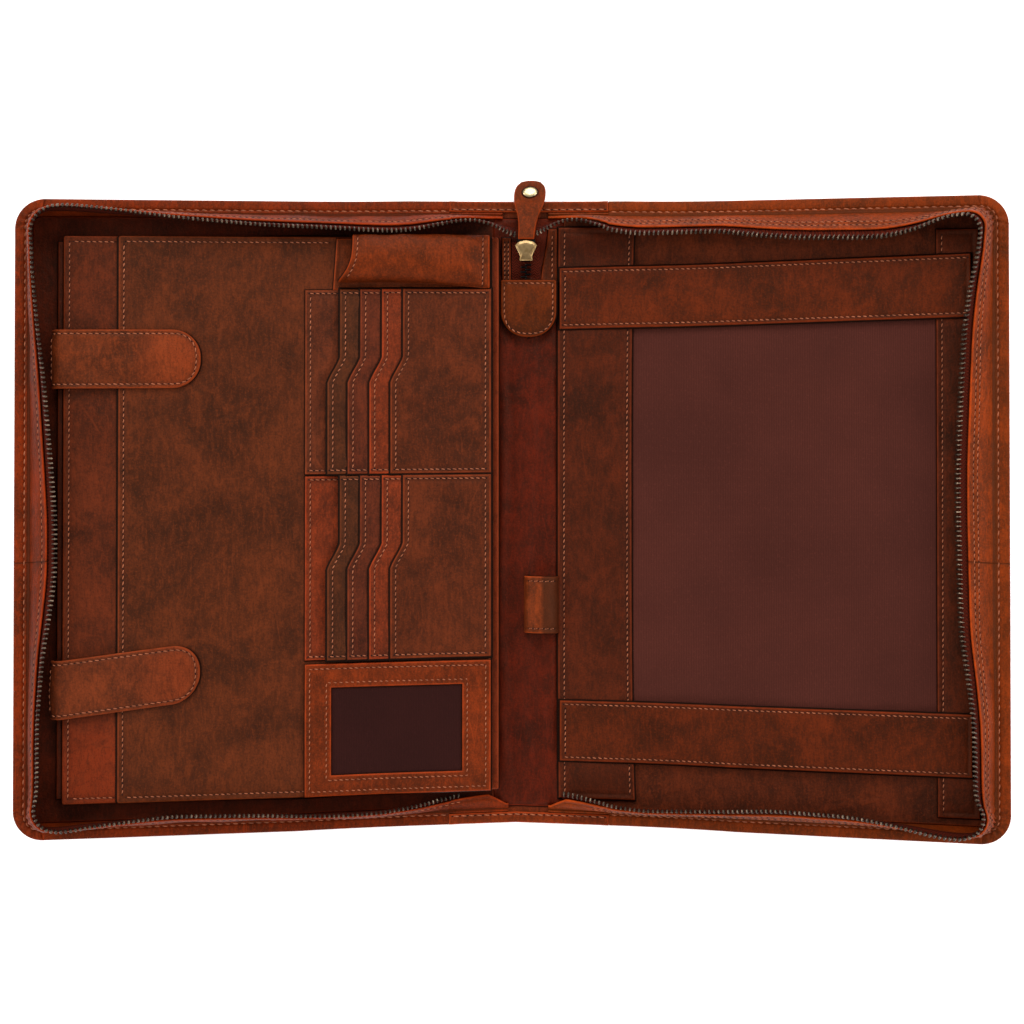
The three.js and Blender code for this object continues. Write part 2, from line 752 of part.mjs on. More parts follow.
function sliderPieces() {
  const { wide, long, low, tall, corner } = sliderBody;
  const body = rectangle(
    sliderU - wide / 2,
    sliderU + wide / 2,
    sliderTop - long,
    sliderTop - gap,
    corner,
  );
  const plateTop = sliderTop - sliderPlate.setBack;
  const down = (share) => plateTop - sliderPlate.long * share;
  const side = (sign) => [
    [sliderU + sign * sliderPlate.wide * plateShoulder.peakWide, down(plateShoulder.peakAt)],
    [sliderU + (sign * sliderPlate.wide) / 2, down(plateShoulder.shoulderAt)],
    [sliderU + (sign * sliderPlate.waist) / 2, down(plateShoulder.waistAt)],
    [sliderU + (sign * sliderPlate.waist) / 2, down(1)],
  ];
  const plate = [[sliderU, plateTop], ...side(-1), ...side(1).reverse()];
  const plateLow = low + tall + gap;
  return [
    sheet("slider_body", darkMetal, body, low, tall),
    sheet("slider_plate", brass, plate, plateLow, sliderPlate.tall),
    ...pullTabPieces(plateLow + pullTab.clear, plateTop + gap),
  ];
}

// The leather tab, from its neck on the slider down to its round end past the case's edge.
function pullTabPieces(nearLow, startV) {
  const tilt = (pullTab.farLow - nearLow) / pullTab.long;
  const place = (u, v, w) => [u + pullTab.lean * (v - startV), v, w + tilt * (v - startV)];
  const tipV = startV + pullTab.long;
  const hipV = startV + pullTab.long * tabCurve.hipAt;
  const round = pullTab.wide * tabCurve.tip;
  const outline = rounded([
    [sliderU - pullTab.neck / 2, startV, tabCurve.neck],
    [sliderU + pullTab.neck / 2, startV, tabCurve.neck],
    [sliderU + pullTab.wide / 2, hipV, tabCurve.hip],
    [sliderU + pullTab.wide / 2, tipV, round],
    [sliderU - pullTab.wide / 2, tipV, round],
    [sliderU - pullTab.wide / 2, hipV, tabCurve.hip],
  ]);
  const rivetV = tipV - rivet.fromTip;
  const head = Array.from({ length: rivet.sides }, (_, i) => {
    const angle = (i / rivet.sides) * 2 * Math.PI;
    return [
      sliderU + (rivet.diameter / 2) * Math.cos(angle),
      rivetV + (rivet.diameter / 2) * Math.sin(angle),
    ];
  });
  const rivetLow = nearLow + pullTab.thick + gap;
  return [
    sheet("pull_tab", orangeLeather, outline, nearLow, pullTab.thick, { place }),
    sheet("pull_rivet", brass, head, rivetLow, rivet.tall, { place }),
  ];
}

// The tail runs down from the slider to the spine and ends under the round cover. Its tape
// goes on up under the slider, and its leather strip lies flat beside it.
function tailPieces() {
  const top = sliderTop - sliderBody.long - gap;
  const bottom = coverTop - tailReach;
  const bendV = coverTop + tailBend;
  const rise = sliderBody.low - clothLow - tapeThick - gap;
  const climb = (v) => THREE.MathUtils.clamp((v - bendV) / (top - bendV), 0, 1);
  const sloped = (name, material, edges, low, thick, end = top) =>
    sheet(name, material, rectangle(bottom, end, edges.left, edges.right), low, thick, {
      cuts: [bendV, top],
      place: (v, u, w) => [u, v, w + rise * climb(v)],
    });
  const strip = rectangle(tailStrip.left, tailStrip.right, bottom, halfHeight - tailStrip.drop);
  const chainLow = clothLow + tapeThick + gap;
  const coverLow = chainLow + tailChain.tall + gap;
  const chain = { left: sliderU - tailChain.wide / 2, right: sliderU + tailChain.wide / 2 };
  const { left, right, long, thick, roundSteps } = endCover;
  const round = (right - left) / 2 - panelCorner;
  const cover = rounded([
    [left, coverTop - long, round],
    [right, coverTop - long, round],
    [right, coverTop, 0],
    [left, coverTop, 0],
  ], roundSteps);
  return [
    sloped("zip_tail_tape", tapeCloth, tailTape, clothLow, tapeThick, top + tailTape.underSlider),
    sloped("zip_tail_chain", darkMetal, chain, chainLow, tailChain.tall),
    sheet("zip_tail_strip", orangeLeather, strip, clothLow, bandLeather),
    sheet("zip_end_cover", midLeather, cover, coverLow, thick),
  ];
}

// The organiser panel

function organiserEdges() {
  return {
    left: -leftWidth + organiserSide,
    right: -organiserInner,
    top: halfHeight - organiserTop,
    bottom: -halfHeight + organiserBottom,
  };
}

function organiserPieces() {
  const { left, right, top, bottom } = organiserEdges();
  const inset = pocketInset;
  const wall = liningLeather;
  const wallOutline = [
    [left + inset, top - inset],
    [right - inset, top - inset],
    [right - inset, bottom + inset],
    [left + inset, bottom + inset],
    [left + inset, bottom + inset + wall],
    [right - inset - wall, bottom + inset + wall],
    [right - inset - wall, top - inset - wall],
    [left + inset, top - inset - wall],
  ];
  const tuck = inset / 2;
  const under = rectangle(left - underPeek, right - tuck, bottom + tuck, top - tuck);
  const back = rectangle(left, right, bottom, top, panelCorner);
  const slip = rectangle(left + slipStart, right - borderBar, bottom, top, panelCorner);
  return [
    sheet("document_pocket_wall", darkLeather, wallOutline, liningTop + gap, pocketDepth),
    sheet("organiser_under", darkLeather, under, underLow, liningLeather),
    sheet("organiser_back", midLeather, back, backLow, panelLeather),
    sheet("slip_pocket_front", darkLeather, slip, slipLow, liningLeather),
  ];
}

// A strap that comes from inside the document pocket, turns round the panel's edge and lies on it.
function documentStrap(name, middleV, turnShare) {
  const { left } = organiserEdges();
  const lowLine = liningTop + gap + strapLeather / 2;
  const highLine = docStrapLow + strapLeather / 2;
  const radius = (highLine - lowLine) / 2;
  const arc = Math.PI * radius;
  const bendU = left - underPeek + radius - strapLeather / 2 - docStrap.room;
  const half = docStrap.wide / 2;
  const total = docStrap.foot + arc + docStrap.long;
  const outline = rounded([
    [0, middleV - half, 0],
    [total, middleV - half, docStrap.tip],
    [total, middleV + half, docStrap.tip],
    [0, middleV + half, 0],
  ]);
  const arcCuts = Array.from(
    { length: docStrap.turnSteps + 1 },
    (_, i) => docStrap.foot + (arc * i) / docStrap.turnSteps,
  );
  const bendCuts = bendStations()
    .map((u) => docStrap.foot + arc + (u - bendU))
    .filter((s) => s > docStrap.foot + arc && s < total);
  const place = (s, v, w) => {
    const off = w - strapLeather / 2;
    const turn = THREE.MathUtils.clamp((s - docStrap.foot) / radius, 0, Math.PI);
    const before = Math.min(s - docStrap.foot, 0);
    const after = Math.max(s - docStrap.foot - arc, 0);
    const u = bendU - before - (radius + off) * Math.sin(turn) + after;
    const high = lowLine + radius - (radius + off) * Math.cos(turn);
    return [u, v + turnShare * after, high];
  };
  const cuts = [...arcCuts, ...bendCuts];
  return sheet(name, orangeLeather, outline, 0, strapLeather, { cuts, place });
}

// Card slots: leaves that overlap like tiles, each with a stepped left edge.
function cardPieces(block, topV) {
  const { right } = organiserEdges();
  const blockRight = right - borderBar + gap;
  const left = blockRight - cardBlock.wide;
  const bottom = topV - cardBlock.deep;
  const base = rectangle(left, blockRight, bottom, topV);
  const slope = slotRise / slotTail;
  const leaves = slotPitch.map((pitch, i) => {
    const start = left + pitch;
    const last = i === slotPitch.length - 1;
    const end = last ? blockRight : start + slotTail;
    const restU = start + slotTail;
    const outline = [
      [start, topV],
      [start, topV - slotStepFrom],
      [start - slotStep, topV - slotStepFrom - slotStepDeep],
      [start - slotStep, bottom],
      [end, bottom],
      [end, topV],
    ];
    const place = (u, v, w) => [u, v, w + slope * Math.max(restU - u, 0)];
    return sheet(`card_slot_${block}_${i + 1}`, slotFinishes[i], outline, leafLow, slotLeather, {
      place,
      cuts: [restU, ...bendStations()],
    });
  });
  return [sheet(`card_base_${block}`, darkLeather, base, blockLow, slotLeather), ...leaves];
}

const slotFinishes = [midLeather, orangeLeather, midLeather, darkLeather];

function windowPieces(topV) {
  const { right } = organiserEdges();
  const blockRight = right - borderBar + gap;
  const left = blockRight - cardBlock.wide;
  const bottom = topV - windowFrame.deep;
  const frame = rectangle(left, blockRight, bottom, topV);
  const hole = rectangle(
    left + windowFrame.left,
    blockRight - windowFrame.right,
    bottom + windowFrame.bottom,
    topV - windowFrame.top,
  );
  const { inset } = windowFrame;
  const behind = rectangle(left + inset, blockRight - inset, bottom + inset, topV - inset);
  return [
    sheet("window_cloth", maroonCloth, behind, blockLow, cloth),
    sheet("window_frame", orangeLeather, frame, blockLow + cloth + gap, slotLeather, { holes: [hole] }),
  ];
}

// The pouch: a hollow half tube of leather, open at its left end and pressed flat at its right.
const pouchHeights = [
  { at: 0, tall: 1, rise: 0 },
  { at: 0.3, tall: 1, rise: 0 },
  { at: 0.6, tall: 0.9, rise: 0.25 },
  { at: 0.85, tall: 0.6, rise: 0.7 },
  { at: 0.95, tall: 0.42, rise: 1 },
  { at: 1, tall: 0.36, rise: 1 },
];

function pouchPieces(topV) {
  const { right } = organiserEdges();
  const endU = right - borderBar - gap;
  const flapBottom = topV - pouchFlap.deep - pouch.flare;
  const flap = [
    [endU - pouchFlap.long, flapBottom],
    [endU, flapBottom],
    [endU, topV - pouchFlap.inset],
    [endU - pouchFlap.long + pouchFlap.skew, topV - pouchFlap.inset],
  ];
  const low = blockLow + slotLeather + gap;
  const ring = (row, wall, at) => {
    const top = topV - wall;
    const bottom = topV - pouch.deep - pouch.flare * row.rise + wall;
    const middle = (top + bottom) / 2;
    const half = (top - bottom) / 2;
    const tall = pouch.tall * row.tall - 2 * wall;
    return Array.from({ length: archSteps + 1 }, (_, k) => {
      const angle = (Math.PI * k) / archSteps;
      const v = middle + half * Math.cos(angle);
      const down = (topV - v) / pouch.deep;
      const bow = pouch.mouthBow * Math.sin(angle);
      const mouthU = endU - pouch.long - pouch.lean * down + bow;
      const u = mouthU + (endU - mouthU) * at;
      return [u, v, low + wall + tall * Math.sqrt(Math.sin(angle))];
    });
  };
  const outer = pouchHeights.map((row) => ring(row, 0, row.at));
  const inner = pouchHeights.slice(0, -1).map((row) => ring(row, pouch.wall, row.at));
  return [
    sheet("pouch_flap", midLeather, flap, blockLow, slotLeather),
    hollow("pen_pouch", orangeLeather, outer, inner, true),
  ];
}

// The pen loop: an open half tube standing on the spine, its hollow along the spine.
function penLoopPiece() {
  const rightU = bandInner - gap;
  const ring = (v, wall) =>
    Array.from({ length: archSteps + 1 }, (_, k) => {
      const angle = (Math.PI * k) / archSteps;
      const half = penLoop.wide / 2 - wall;
      const tall = penLoop.tall - 2 * wall;
      const u = rightU - penLoop.wide / 2 - half * Math.cos(angle);
      return [u, v, clothLow + wall + tall * Math.sqrt(Math.sin(angle))];
    });
  const footV = penLoop.rise - halfHeight;
  const ends = [footV + penLoop.long, footV];
  return hollow(
    "pen_loop",
    orangeLeather,
    ends.map((v) => ring(v, 0)),
    ends.map((v) => ring(v, penLoop.wall)),
    false,
  );
}

// The pad holder on the right half

function padPieces() {
  const far = baseV - bandShort.left;
  const innerEdge = bandInner + bandWidth;
  const outerEdge = rightWidth - bandOuter;
  const topLine = halfHeight - padStrap.topDrop;
  const bottomLine = padStrap.bottomRise - halfHeight;
  const half = padStrap.deep / 2;
  const panel = rectangle(
    innerEdge - clothTuck,
    outerEdge + clothTuck,
    bottomLine + half,
    topLine - half,
  );
  const left = rectangle(bandInner, innerEdge, -far, far);
  const right = rectangle(
    outerEdge,
    rightWidth - bandEnd,
    bandShort.rightBottom - baseV,
    baseV - bandShort.rightTop,
  );
  const strap = (name, bottom, turn) => {
    const { start, end, deep } = padStrap;
    const outline = rectangle(start, rightWidth - end, bottom, bottom + deep);
    const place = (u, v, w) => [u, v + turn * (u - start), w];
    return sheet(name, midLeather, outline, padStrapLow, bandLeather, { place });
  };
  return [
    sheet("cloth_panel", maroonCloth, panel, clothLow, cloth),
    sheet("band_left", darkLeather, left, bandLow, bandLeather),
    sheet("band_right", darkLeather, right, bandLow, bandLeather),
    strap("pad_strap_top", topLine - padStrap.deep, padStrap.topTurn),
    strap("pad_strap_bottom", bottomLine, 0),
  ];
}

const documentCase = new THREE.Group();
const firstBlockTop = halfHeight - cardBlock.top;
const secondBlockTop = firstBlockTop - cardBlock.deep - cardBlock.between;
const windowTop = secondBlockTop - cardBlock.deep - cardBlock.between;
const sliderEdge = sliderBody.wide / 2 + sliderClear;
const leftEnds = { ...zipStarts.left, zipTop: sliderEdge - sliderU };
const rightEnds = { ...zipStarts.right, zipTop: sliderEdge + sliderU };
documentCase.add(
  ...shellPieces(),
  ...zipPieces(leftHalf, "left", leftEnds),
  ...zipPieces(rightHalf, "right", rightEnds),
  ...sliderPieces(),
  ...tailPieces(),
  ...organiserPieces(),
  documentStrap("strap_upper", halfHeight - strapPlaces.upperDrop, 0),
  documentStrap("strap_lower", strapPlaces.lowerRise - halfHeight, strapPlaces.lowerTurn),
  ...cardPieces(1, firstBlockTop),
  ...cardPieces(2, secondBlockTop),
  ...windowPieces(windowTop),
  ...pouchPieces(halfHeight - organiserTop),
  penLoopPiece(),
  ...padPieces(),
);

export default documentCase;
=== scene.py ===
import math

import bpy
import numpy as np
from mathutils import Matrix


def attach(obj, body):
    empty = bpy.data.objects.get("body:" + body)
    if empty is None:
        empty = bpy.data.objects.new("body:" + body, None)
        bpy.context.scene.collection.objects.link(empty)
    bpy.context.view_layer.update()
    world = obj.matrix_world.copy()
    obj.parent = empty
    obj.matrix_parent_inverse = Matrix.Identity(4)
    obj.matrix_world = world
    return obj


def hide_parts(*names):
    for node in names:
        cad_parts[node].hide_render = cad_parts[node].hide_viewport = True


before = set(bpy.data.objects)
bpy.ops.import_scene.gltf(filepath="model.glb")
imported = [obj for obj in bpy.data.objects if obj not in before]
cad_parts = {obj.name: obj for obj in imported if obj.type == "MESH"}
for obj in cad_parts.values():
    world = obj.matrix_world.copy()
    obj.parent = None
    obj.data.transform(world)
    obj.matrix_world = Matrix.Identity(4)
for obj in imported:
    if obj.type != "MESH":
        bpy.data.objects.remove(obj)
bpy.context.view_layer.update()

MM = 0.001

# The covers and how they lie
CASE_HEIGHT = 344.6
LEFT_WIDTH = 270.5
RIGHT_WIDTH = 265.0
CORNER = 16.0
FLAT_HALF = 60.0
BEND_LENGTH = 60.0
LEFT_BEND = 450.0
RIGHT_BEND = 280.0
OUTER_DROP = 3.5
LOWER_SPREAD = 0.005
WAIST_TOP, WAIST_BOTTOM = 1.1, 2.8
WAIST_REACH_TOP, WAIST_REACH_BOTTOM = 60.0, 120.0
HALF_HEIGHT = CASE_HEIGHT / 2

# Leather and cloth, and the room between layers
GAP = 0.3
STRAP_GAP = 0.5
POCKET_DEEP = 4.5
SHELL = 2.2
LINING = 1.2
PANEL = 1.4
SLOT = 1.0
BAND = 1.4
STRAP = 2.0
CLOTH = 0.8

# The gusset and the zip
FLANGE = 8.0
SLANT = 21.0
GUSSET = 1.2
GUSSET_SEAM = 149.1 - HALF_HEIGHT
SEAM_LEFT = 35.0
SEAM_RIGHT = 49.0
END_FOLD = {-1: (35.0, 15.0), 1: (49.0, 27.0)}
LEAST_LEATHER = 0.12
HEM_OVERLAP = 1.8
GUSSET_CORNER = 6.0
ZIP_CORNER = 15.0
LEATHER_SHARE = 0.72
TAPE_START = 0.62
TAPE = 1.0
TAPE_ROOM = 0.5
TEETH_WIDE = 3.0
TOOTH_PITCH = 2.52
BASE_V = HALF_HEIGHT - FLANGE

# Layer heights
FOOT_LOW = SHELL + GAP
FOOT_TOP = FOOT_LOW + GUSSET
LINING_TOP = FOOT_LOW + LINING
CLOTH_LOW = LINING_TOP + GAP
BAND_LOW = CLOTH_LOW + CLOTH + GAP
PAD_STRAP_LOW = BAND_LOW + BAND + GAP
UNDER_LOW = LINING_TOP + GAP + POCKET_DEEP + GAP
BACK_LOW = UNDER_LOW + LINING + GAP
SLIP_LOW = BACK_LOW + PANEL + GAP
BLOCK_LOW = SLIP_LOW + LINING + GAP
LEAF_LOW = BLOCK_LOW + SLOT + GAP
DOC_STRAP_LOW = SLIP_LOW + LINING + STRAP_GAP

# The organiser panel's edges
BORDER_BAR = 4.6
UNDER_PEEK = 3.0
PANEL_LEFT = -LEFT_WIDTH + 26.5
PANEL_RIGHT = -9.5
PANEL_TOP = HALF_HEIGHT - 21.0
PANEL_BOTTOM = -HALF_HEIGHT + 20.0
SLIP_LEFT = PANEL_LEFT + 29.0
SLIP_RIGHT = PANEL_RIGHT - BORDER_BAR

# How far the zip line leans in, and how high it stands, round each half
ZIP_LINE = {
    -1: {
        "top": [
            (0, 0.55, 0.38), (0.025, 0.42, 0.66), (0.05, 0.25, 0.88), (0.09, 0.19, 1),
            (0.15, 0.3, 1), (0.21, 0.47, 1), (0.27, 0.47, 1), (0.36, 0.4, 1),
            (0.52, 0.33, 1), (0.675, 0.18, 1), (0.83, -0.05, 1), (0.9, -0.12, 1),
        ],
        "side": [
            (0.05, 0.11, 1), (0.18, 0.28, 1), (0.25, 0.4, 1), (0.39, 0.56, 1), (0.5, 0.67, 1),
            (0.6, 0.67, 1), (0.68, 0.53, 1), (0.74, 0.4, 1), (0.86, 0.28, 1), (0.95, 0.28, 1),
        ],
        "bottom": [
            (0.05, 0.5, 0.16), (0.115, 0.38, 0.2), (0.15, 0.27, 0.3), (0.19, 0.19, 0.62),
            (0.27, 0.1, 1), (0.36, 0.07, 1), (0.52, 0.18, 1), (0.69, 0.23, 1), (0.85, 0.03, 1),
            (0.905, -0.1, 1),
        ],
    },
    1: {
        "top": [
            (0.041, 0.55, 0.38), (0.06, 0.37, 0.72), (0.09, 0.21, 0.95), (0.12, 0.14, 1),
            (0.15, 0.27, 1), (0.19, 0.45, 1), (0.23, 0.54, 1), (0.43, 0.48, 1), (0.51, 0.6, 1),
            (0.59, 0.67, 1), (0.75, 0.7, 1), (0.82, 0.53, 1), (0.87, 0.25, 1), (0.91, 0.17, 1),
        ],
        "side": [
            (0.03, 0.33, 1), (0.08, 0.52, 1), (0.17, 0.7, 1), (0.29, 0.79, 1), (0.41, 0.86, 1),
            (0.49, 0.86, 1), (0.63, 0.82, 1), (0.7, 0.79, 1), (0.78, 0.62, 1), (0.86, 0.49, 1),
            (0.95, 0.47, 1),
        ],
        "bottom": [
            (0.095, 0.43, 0.38), (0.13, 0.37, 0.5), (0.2, 0.18, 0.8), (0.26, 0.14, 1),
            (0.39, 0.21, 1), (0.54, 0.32, 1), (0.69, 0.26, 1), (0.77, 0.11, 1),
            (0.845, -0.1, 1), (0.9, -0.2, 1),
        ],
    },
}


# Shared shapes


def smoothstep(x):
    x = np.clip(x, 0, 1)
    return x * x * (3 - 2 * x)


def drape(u, v, w):
    """Flat places (u, v, w) in millimetres as points in metres on the open case."""
    u, v, w = np.broadcast_arrays(*(np.asarray(x, float) for x in (u, v, w)))
    out = np.abs(u)
    width = np.where(u < 0, LEFT_WIDTH, RIGHT_WIDTH)
    radius = np.where(u < 0, LEFT_BEND, RIGHT_BEND)
    angle = np.clip(out - FLAT_HALF, 0, BEND_LENGTH) / radius
    beyond = np.maximum(out - FLAT_HALF - BEND_LENGTH, 0)
    along = np.minimum(out, FLAT_HALF) + radius * np.sin(angle) + beyond * np.cos(angle)
    rise = radius * (1 - np.cos(angle)) + beyond * np.sin(angle)
    spread = 1 + LOWER_SPREAD * (0.5 - v / CASE_HEIGHT)
    deep = np.where(v < 0, WAIST_BOTTOM, WAIST_TOP)
    reach = np.where(v < 0, WAIST_REACH_BOTTOM, WAIST_REACH_TOP)
    waist = deep * (v / HALF_HEIGHT) * np.maximum(1 - out / reach, 0)
    x = np.sign(u) * (along * spread - w * np.sin(angle))
    y = v - waist - OUTER_DROP * out / width
    z = rise + w * np.cos(angle)
    return np.stack([x, y, z], axis=-1) * MM


def ripple(a, b, size, seed, count=7):
    """A soft random swell over the leather, about 1 high, with hollows about size apart."""
    random = np.random.default_rng(seed)
    total = np.zeros(np.broadcast(a, b).shape)
    for _ in range(count):
        turn, phase = random.uniform(0, 2 * math.pi, 2)
        pitch = 2 * math.pi / (size * random.uniform(0.7, 1.8))
        total = total + np.sin(pitch * (a * math.cos(turn) + b * math.sin(turn)) + phase)
    return total / math.sqrt(2 * count)


def unit(vectors):
    return vectors / np.maximum(np.linalg.norm(vectors, axis=-1, keepdims=True), 1e-12)


def make_object(name, points, faces, material, nodes=(), marks=None, soft=True):
    """A mesh object that rides on the case. marks are numbers per point for the material."""
    points = np.asarray(points, float)
    faces = [tuple(int(i) for i in face) for face in faces]
    volume = signed_volume(points, faces)
    if volume < 0:
        faces = [face[::-1] for face in faces]
    mesh = bpy.data.meshes.new(name)
    mesh.from_pydata(points.tolist(), [], faces)
    for key, values in (marks or {}).items():
        layer = mesh.attributes.new(key, "FLOAT", "POINT")
        layer.data.foreach_set("value", np.asarray(values, np.float32).ravel())
    if soft:
        mesh.shade_smooth()
    mesh.materials.append(material)
    mesh.validate()
    piece = bpy.data.objects.new(name, mesh)
    bpy.context.scene.collection.objects.link(piece)
    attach(piece, "root")
    if nodes:
        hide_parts(*nodes)
    return piece


def signed_volume(points, faces):
    """Six times the volume that the faces close in; below zero when they look inwards."""
    total = 0.0
    for corners in sorted({len(face) for face in faces}):
        chosen = points[np.array([face for face in faces if len(face) == corners])]
        for k in range(1, corners - 1):
            total += np.einsum("ij,ij->", chosen[:, 0], np.cross(chosen[:, k], chosen[:, k + 1]))
    return total


def tube_faces(stations, count):
    """The faces of a closed tube of rings with count points each."""
    faces = []
    for i in range(stations - 1):
        low, high = i * count, (i + 1) * count
        for k in range(count):
            n = (k + 1) % count
            faces.append((low + k, low + n, high + n, high + k))
    faces.append(tuple(range(count))[::-1])
    faces.append(tuple((stations - 1) * count + k for k in range(count)))
    return faces


def copies(faces, count, size):
    """The faces of count equal shapes that have size points each."""
    return [tuple(i + n * size for i in face) for n in range(count) for face in faces]


EDGE_STEPS = np.array([0, 0.08, 0.3, 0.7, 1.2, 1.8, 2.4, 3.0, 3.8, 5.0])


class Leaf:
    """A piece cut from leather or cloth, with its own axes a and b.

    left and right are numbers or functions of b. place turns (a, b, w) into (u, v, w), w being
    the height. relief is how far the upper side swells at (a, b). seams are the distances from
    the edge at which stitches press the leather down. skirt is how far the dark cut edge shows
    round the outline; that near-black band is edge paint and also painted shadow along the edge.
    warmth is where the leather is redder and paler, and the painted shade option is where shade
    is painted as darker colour.
    """

    def __init__(self, left, right, bottom, top, low, thick, **options):
        self.left = left if callable(left) else (lambda b: np.full(np.shape(b), float(left)))
        self.right = right if callable(right) else (lambda b: np.full(np.shape(b), float(right)))
        self.bottom, self.top = bottom, top
        self.low, self.thick = low, thick
        self.corners = options.get("corners", (0, 0, 0, 0))
        self.place = options.get("place", lambda a, b, w: (a, b, w))
        self.relief = options.get("relief", lambda a, b: 0 * a)
        self.seams = options.get("seams", ())
        self.step = options.get("step", 2.6)
        self.round_edge = options.get("round_edge", 0.7)
        self.breaks = options.get("breaks", ())
        self.hole = options.get("hole")
        self.skirt = options.get("skirt", 0.6)
        self.warmth = options.get("warmth", lambda a, b: 0 * a)
        self.shade = options.get("shade", lambda a, b: 0 * a)

    def distance(self, a, b):
        near = [a - self.left(b), self.right(b) - a, b - self.bottom, self.top - b]
        nearest = np.minimum.reduce(near)
        sides = ((0, 2), (1, 2), (1, 3), (0, 3))
        for (i, k), radius in zip(sides, self.corners):
            if radius:
                x, y = near[i], near[k]
                inside = (x < radius) & (y < radius)
                arc = radius - np.hypot(radius - x, radius - y)
                nearest = np.where(inside, arc, nearest)
        if self.hole:
            left, right, bottom, top = self.hole
            beyond = np.maximum.reduce([left - a, a - right, bottom - b, b - top])
            nearest = np.minimum(nearest, beyond)
        return np.maximum(nearest, 0)

    def edge(self, a, b):
        share = np.clip(self.distance(a, b) / self.round_edge, 0, 1)
        return np.sqrt(np.maximum(1 - (1 - share) ** 2, 0))

    def groove(self, a, b):
        near = self.distance(a, b)
        return sum((np.exp(-(((near - at) / 0.8) ** 2)) for at in self.seams), 0 * near)

    def height(self, a, b):
        near = self.distance(a, b)
        swell = smoothstep(near / 2.5) * self.relief(a, b)
        edge = self.edge(a, b)
        return self.low + self.thick * (0.5 + 0.5 * edge) - 0.3 * self.groove(a, b) + swell

    def point(self, a, b, above=0.0):
        a, b = np.asarray(a, float), np.asarray(b, float)
        return drape(*self.place(a, b, self.height(a, b) + above))

    def normal(self, a, b):
        small = 0.05
        along = self.point(a + small, b) - self.point(a - small, b)
        across = self.point(a, b + small) - self.point(a, b - small)
        return unit(np.cross(along, across))

    def rows(self):
        span = self.top - self.bottom
        reach = min(EDGE_STEPS[-1], 0.4 * span)
        steps = EDGE_STEPS * reach / EDGE_STEPS[-1]
        count = max(int((span - 2 * reach) / self.step), 1)
        rows = [*steps, *np.linspace(reach, span - reach, count + 1), *(span - steps)]
        turns = np.linspace(0, math.pi / 2, 13)
        lower, upper = max(self.corners[:2]), max(self.corners[2:])
        rows += [lower * (1 - math.cos(t)) for t in turns if lower]
        rows += [span - upper * (1 - math.cos(t)) for t in turns if upper]
        rows += [x - self.bottom for x in self.breaks]
        rows = np.unique(np.round(np.clip(rows, 0, span), 3))
        keep = np.concatenate([[True], np.diff(rows) > 0.04])
        rows = rows[keep]
        rows[-1] = span
        return self.bottom + rows

    def spans(self, rows):
        low, high = self.left(rows).copy(), self.right(rows).copy()
        for k, (side, end) in enumerate(((0, 0), (1, 0), (1, 1), (0, 1))):
            radius = self.corners[k]
            near = rows - self.bottom if end == 0 else self.top - rows
            inset = np.where(
                near < radius, radius - np.sqrt(np.maximum(radius**2 - (radius - near) ** 2, 0)), 0
            )
            if side == 0:
                low = low + inset
            else:
                high = high - inset
        return low, high

    def grid(self):
        rows = self.rows()
        low, high = self.spans(rows)
        width = (high - low)[:, None]
        scale = np.minimum(1, 0.4 * width / EDGE_STEPS[-1])
        near = scale * EDGE_STEPS[None, :]
        count = max(int((width.max() - 2 * EDGE_STEPS[-1]) / self.step), 1)
        share = np.linspace(0, 1, count + 1)[None, 1:-1]
        start, end = near[:, -1:], width - near[:, -1:]
        across = np.hstack([near, start + (end - start) * share, width - near[:, ::-1]])
        a = low[:, None] + across
        b = np.repeat(rows[:, None], a.shape[1], axis=1)
        return a, b, False

    def ring_grid(self):
        """Rows that run round the hole, from the outer edge to the hole's edge."""
        left, right, bottom, top = self.hole
        outer = [
            (self.left(self.bottom), self.bottom), (self.right(self.bottom), self.bottom),
            (self.right(self.top), self.top), (self.left(self.top), self.top),
        ]
        inner = [(left, bottom), (right, bottom), (right, top), (left, top)]
        shares = (0, 0.006, 0.03, 0.07, 0.13, 0.2, 0.3, 0.45, 0.6, 0.75, 0.85, 0.93, 0.97, 0.994, 1)
        loops = []
        for share in shares:
            loop = []
            for k in range(4):
                from_out, to_out = (np.array(outer[i % 4], float) for i in (k, k + 1))
                from_in, to_in = (np.array(inner[i % 4], float) for i in (k, k + 1))
                start = from_out + (from_in - from_out) * share
                end = to_out + (to_in - to_out) * share
                count = max(int(np.hypot(*(to_out - from_out)) / self.step), 2)
                loop += [start + (end - start) * i / count for i in range(count)]
            loops.append(loop)
        places = np.array(loops)
        return places[..., 0], places[..., 1], True

    def feet(self, a, b, closed):
        """Where the cut edge meets the layer below, a little outside the outline."""
        foot_a, foot_b = a.copy(), b.copy()
        borders = [(np.s_[0, :], np.s_[1, :]), (np.s_[-1, :], np.s_[-2, :])]
        if not closed:
            borders += [(np.s_[:, 0], np.s_[:, 1]), (np.s_[:, -1], np.s_[:, -2])]
        for edge, inner in borders:
            out = unit(np.stack([a[edge] - a[inner], b[edge] - b[inner]], axis=-1))
            foot_a[edge] += self.skirt * out[..., 0]
            foot_b[edge] += self.skirt * out[..., 1]
        return foot_a, foot_b

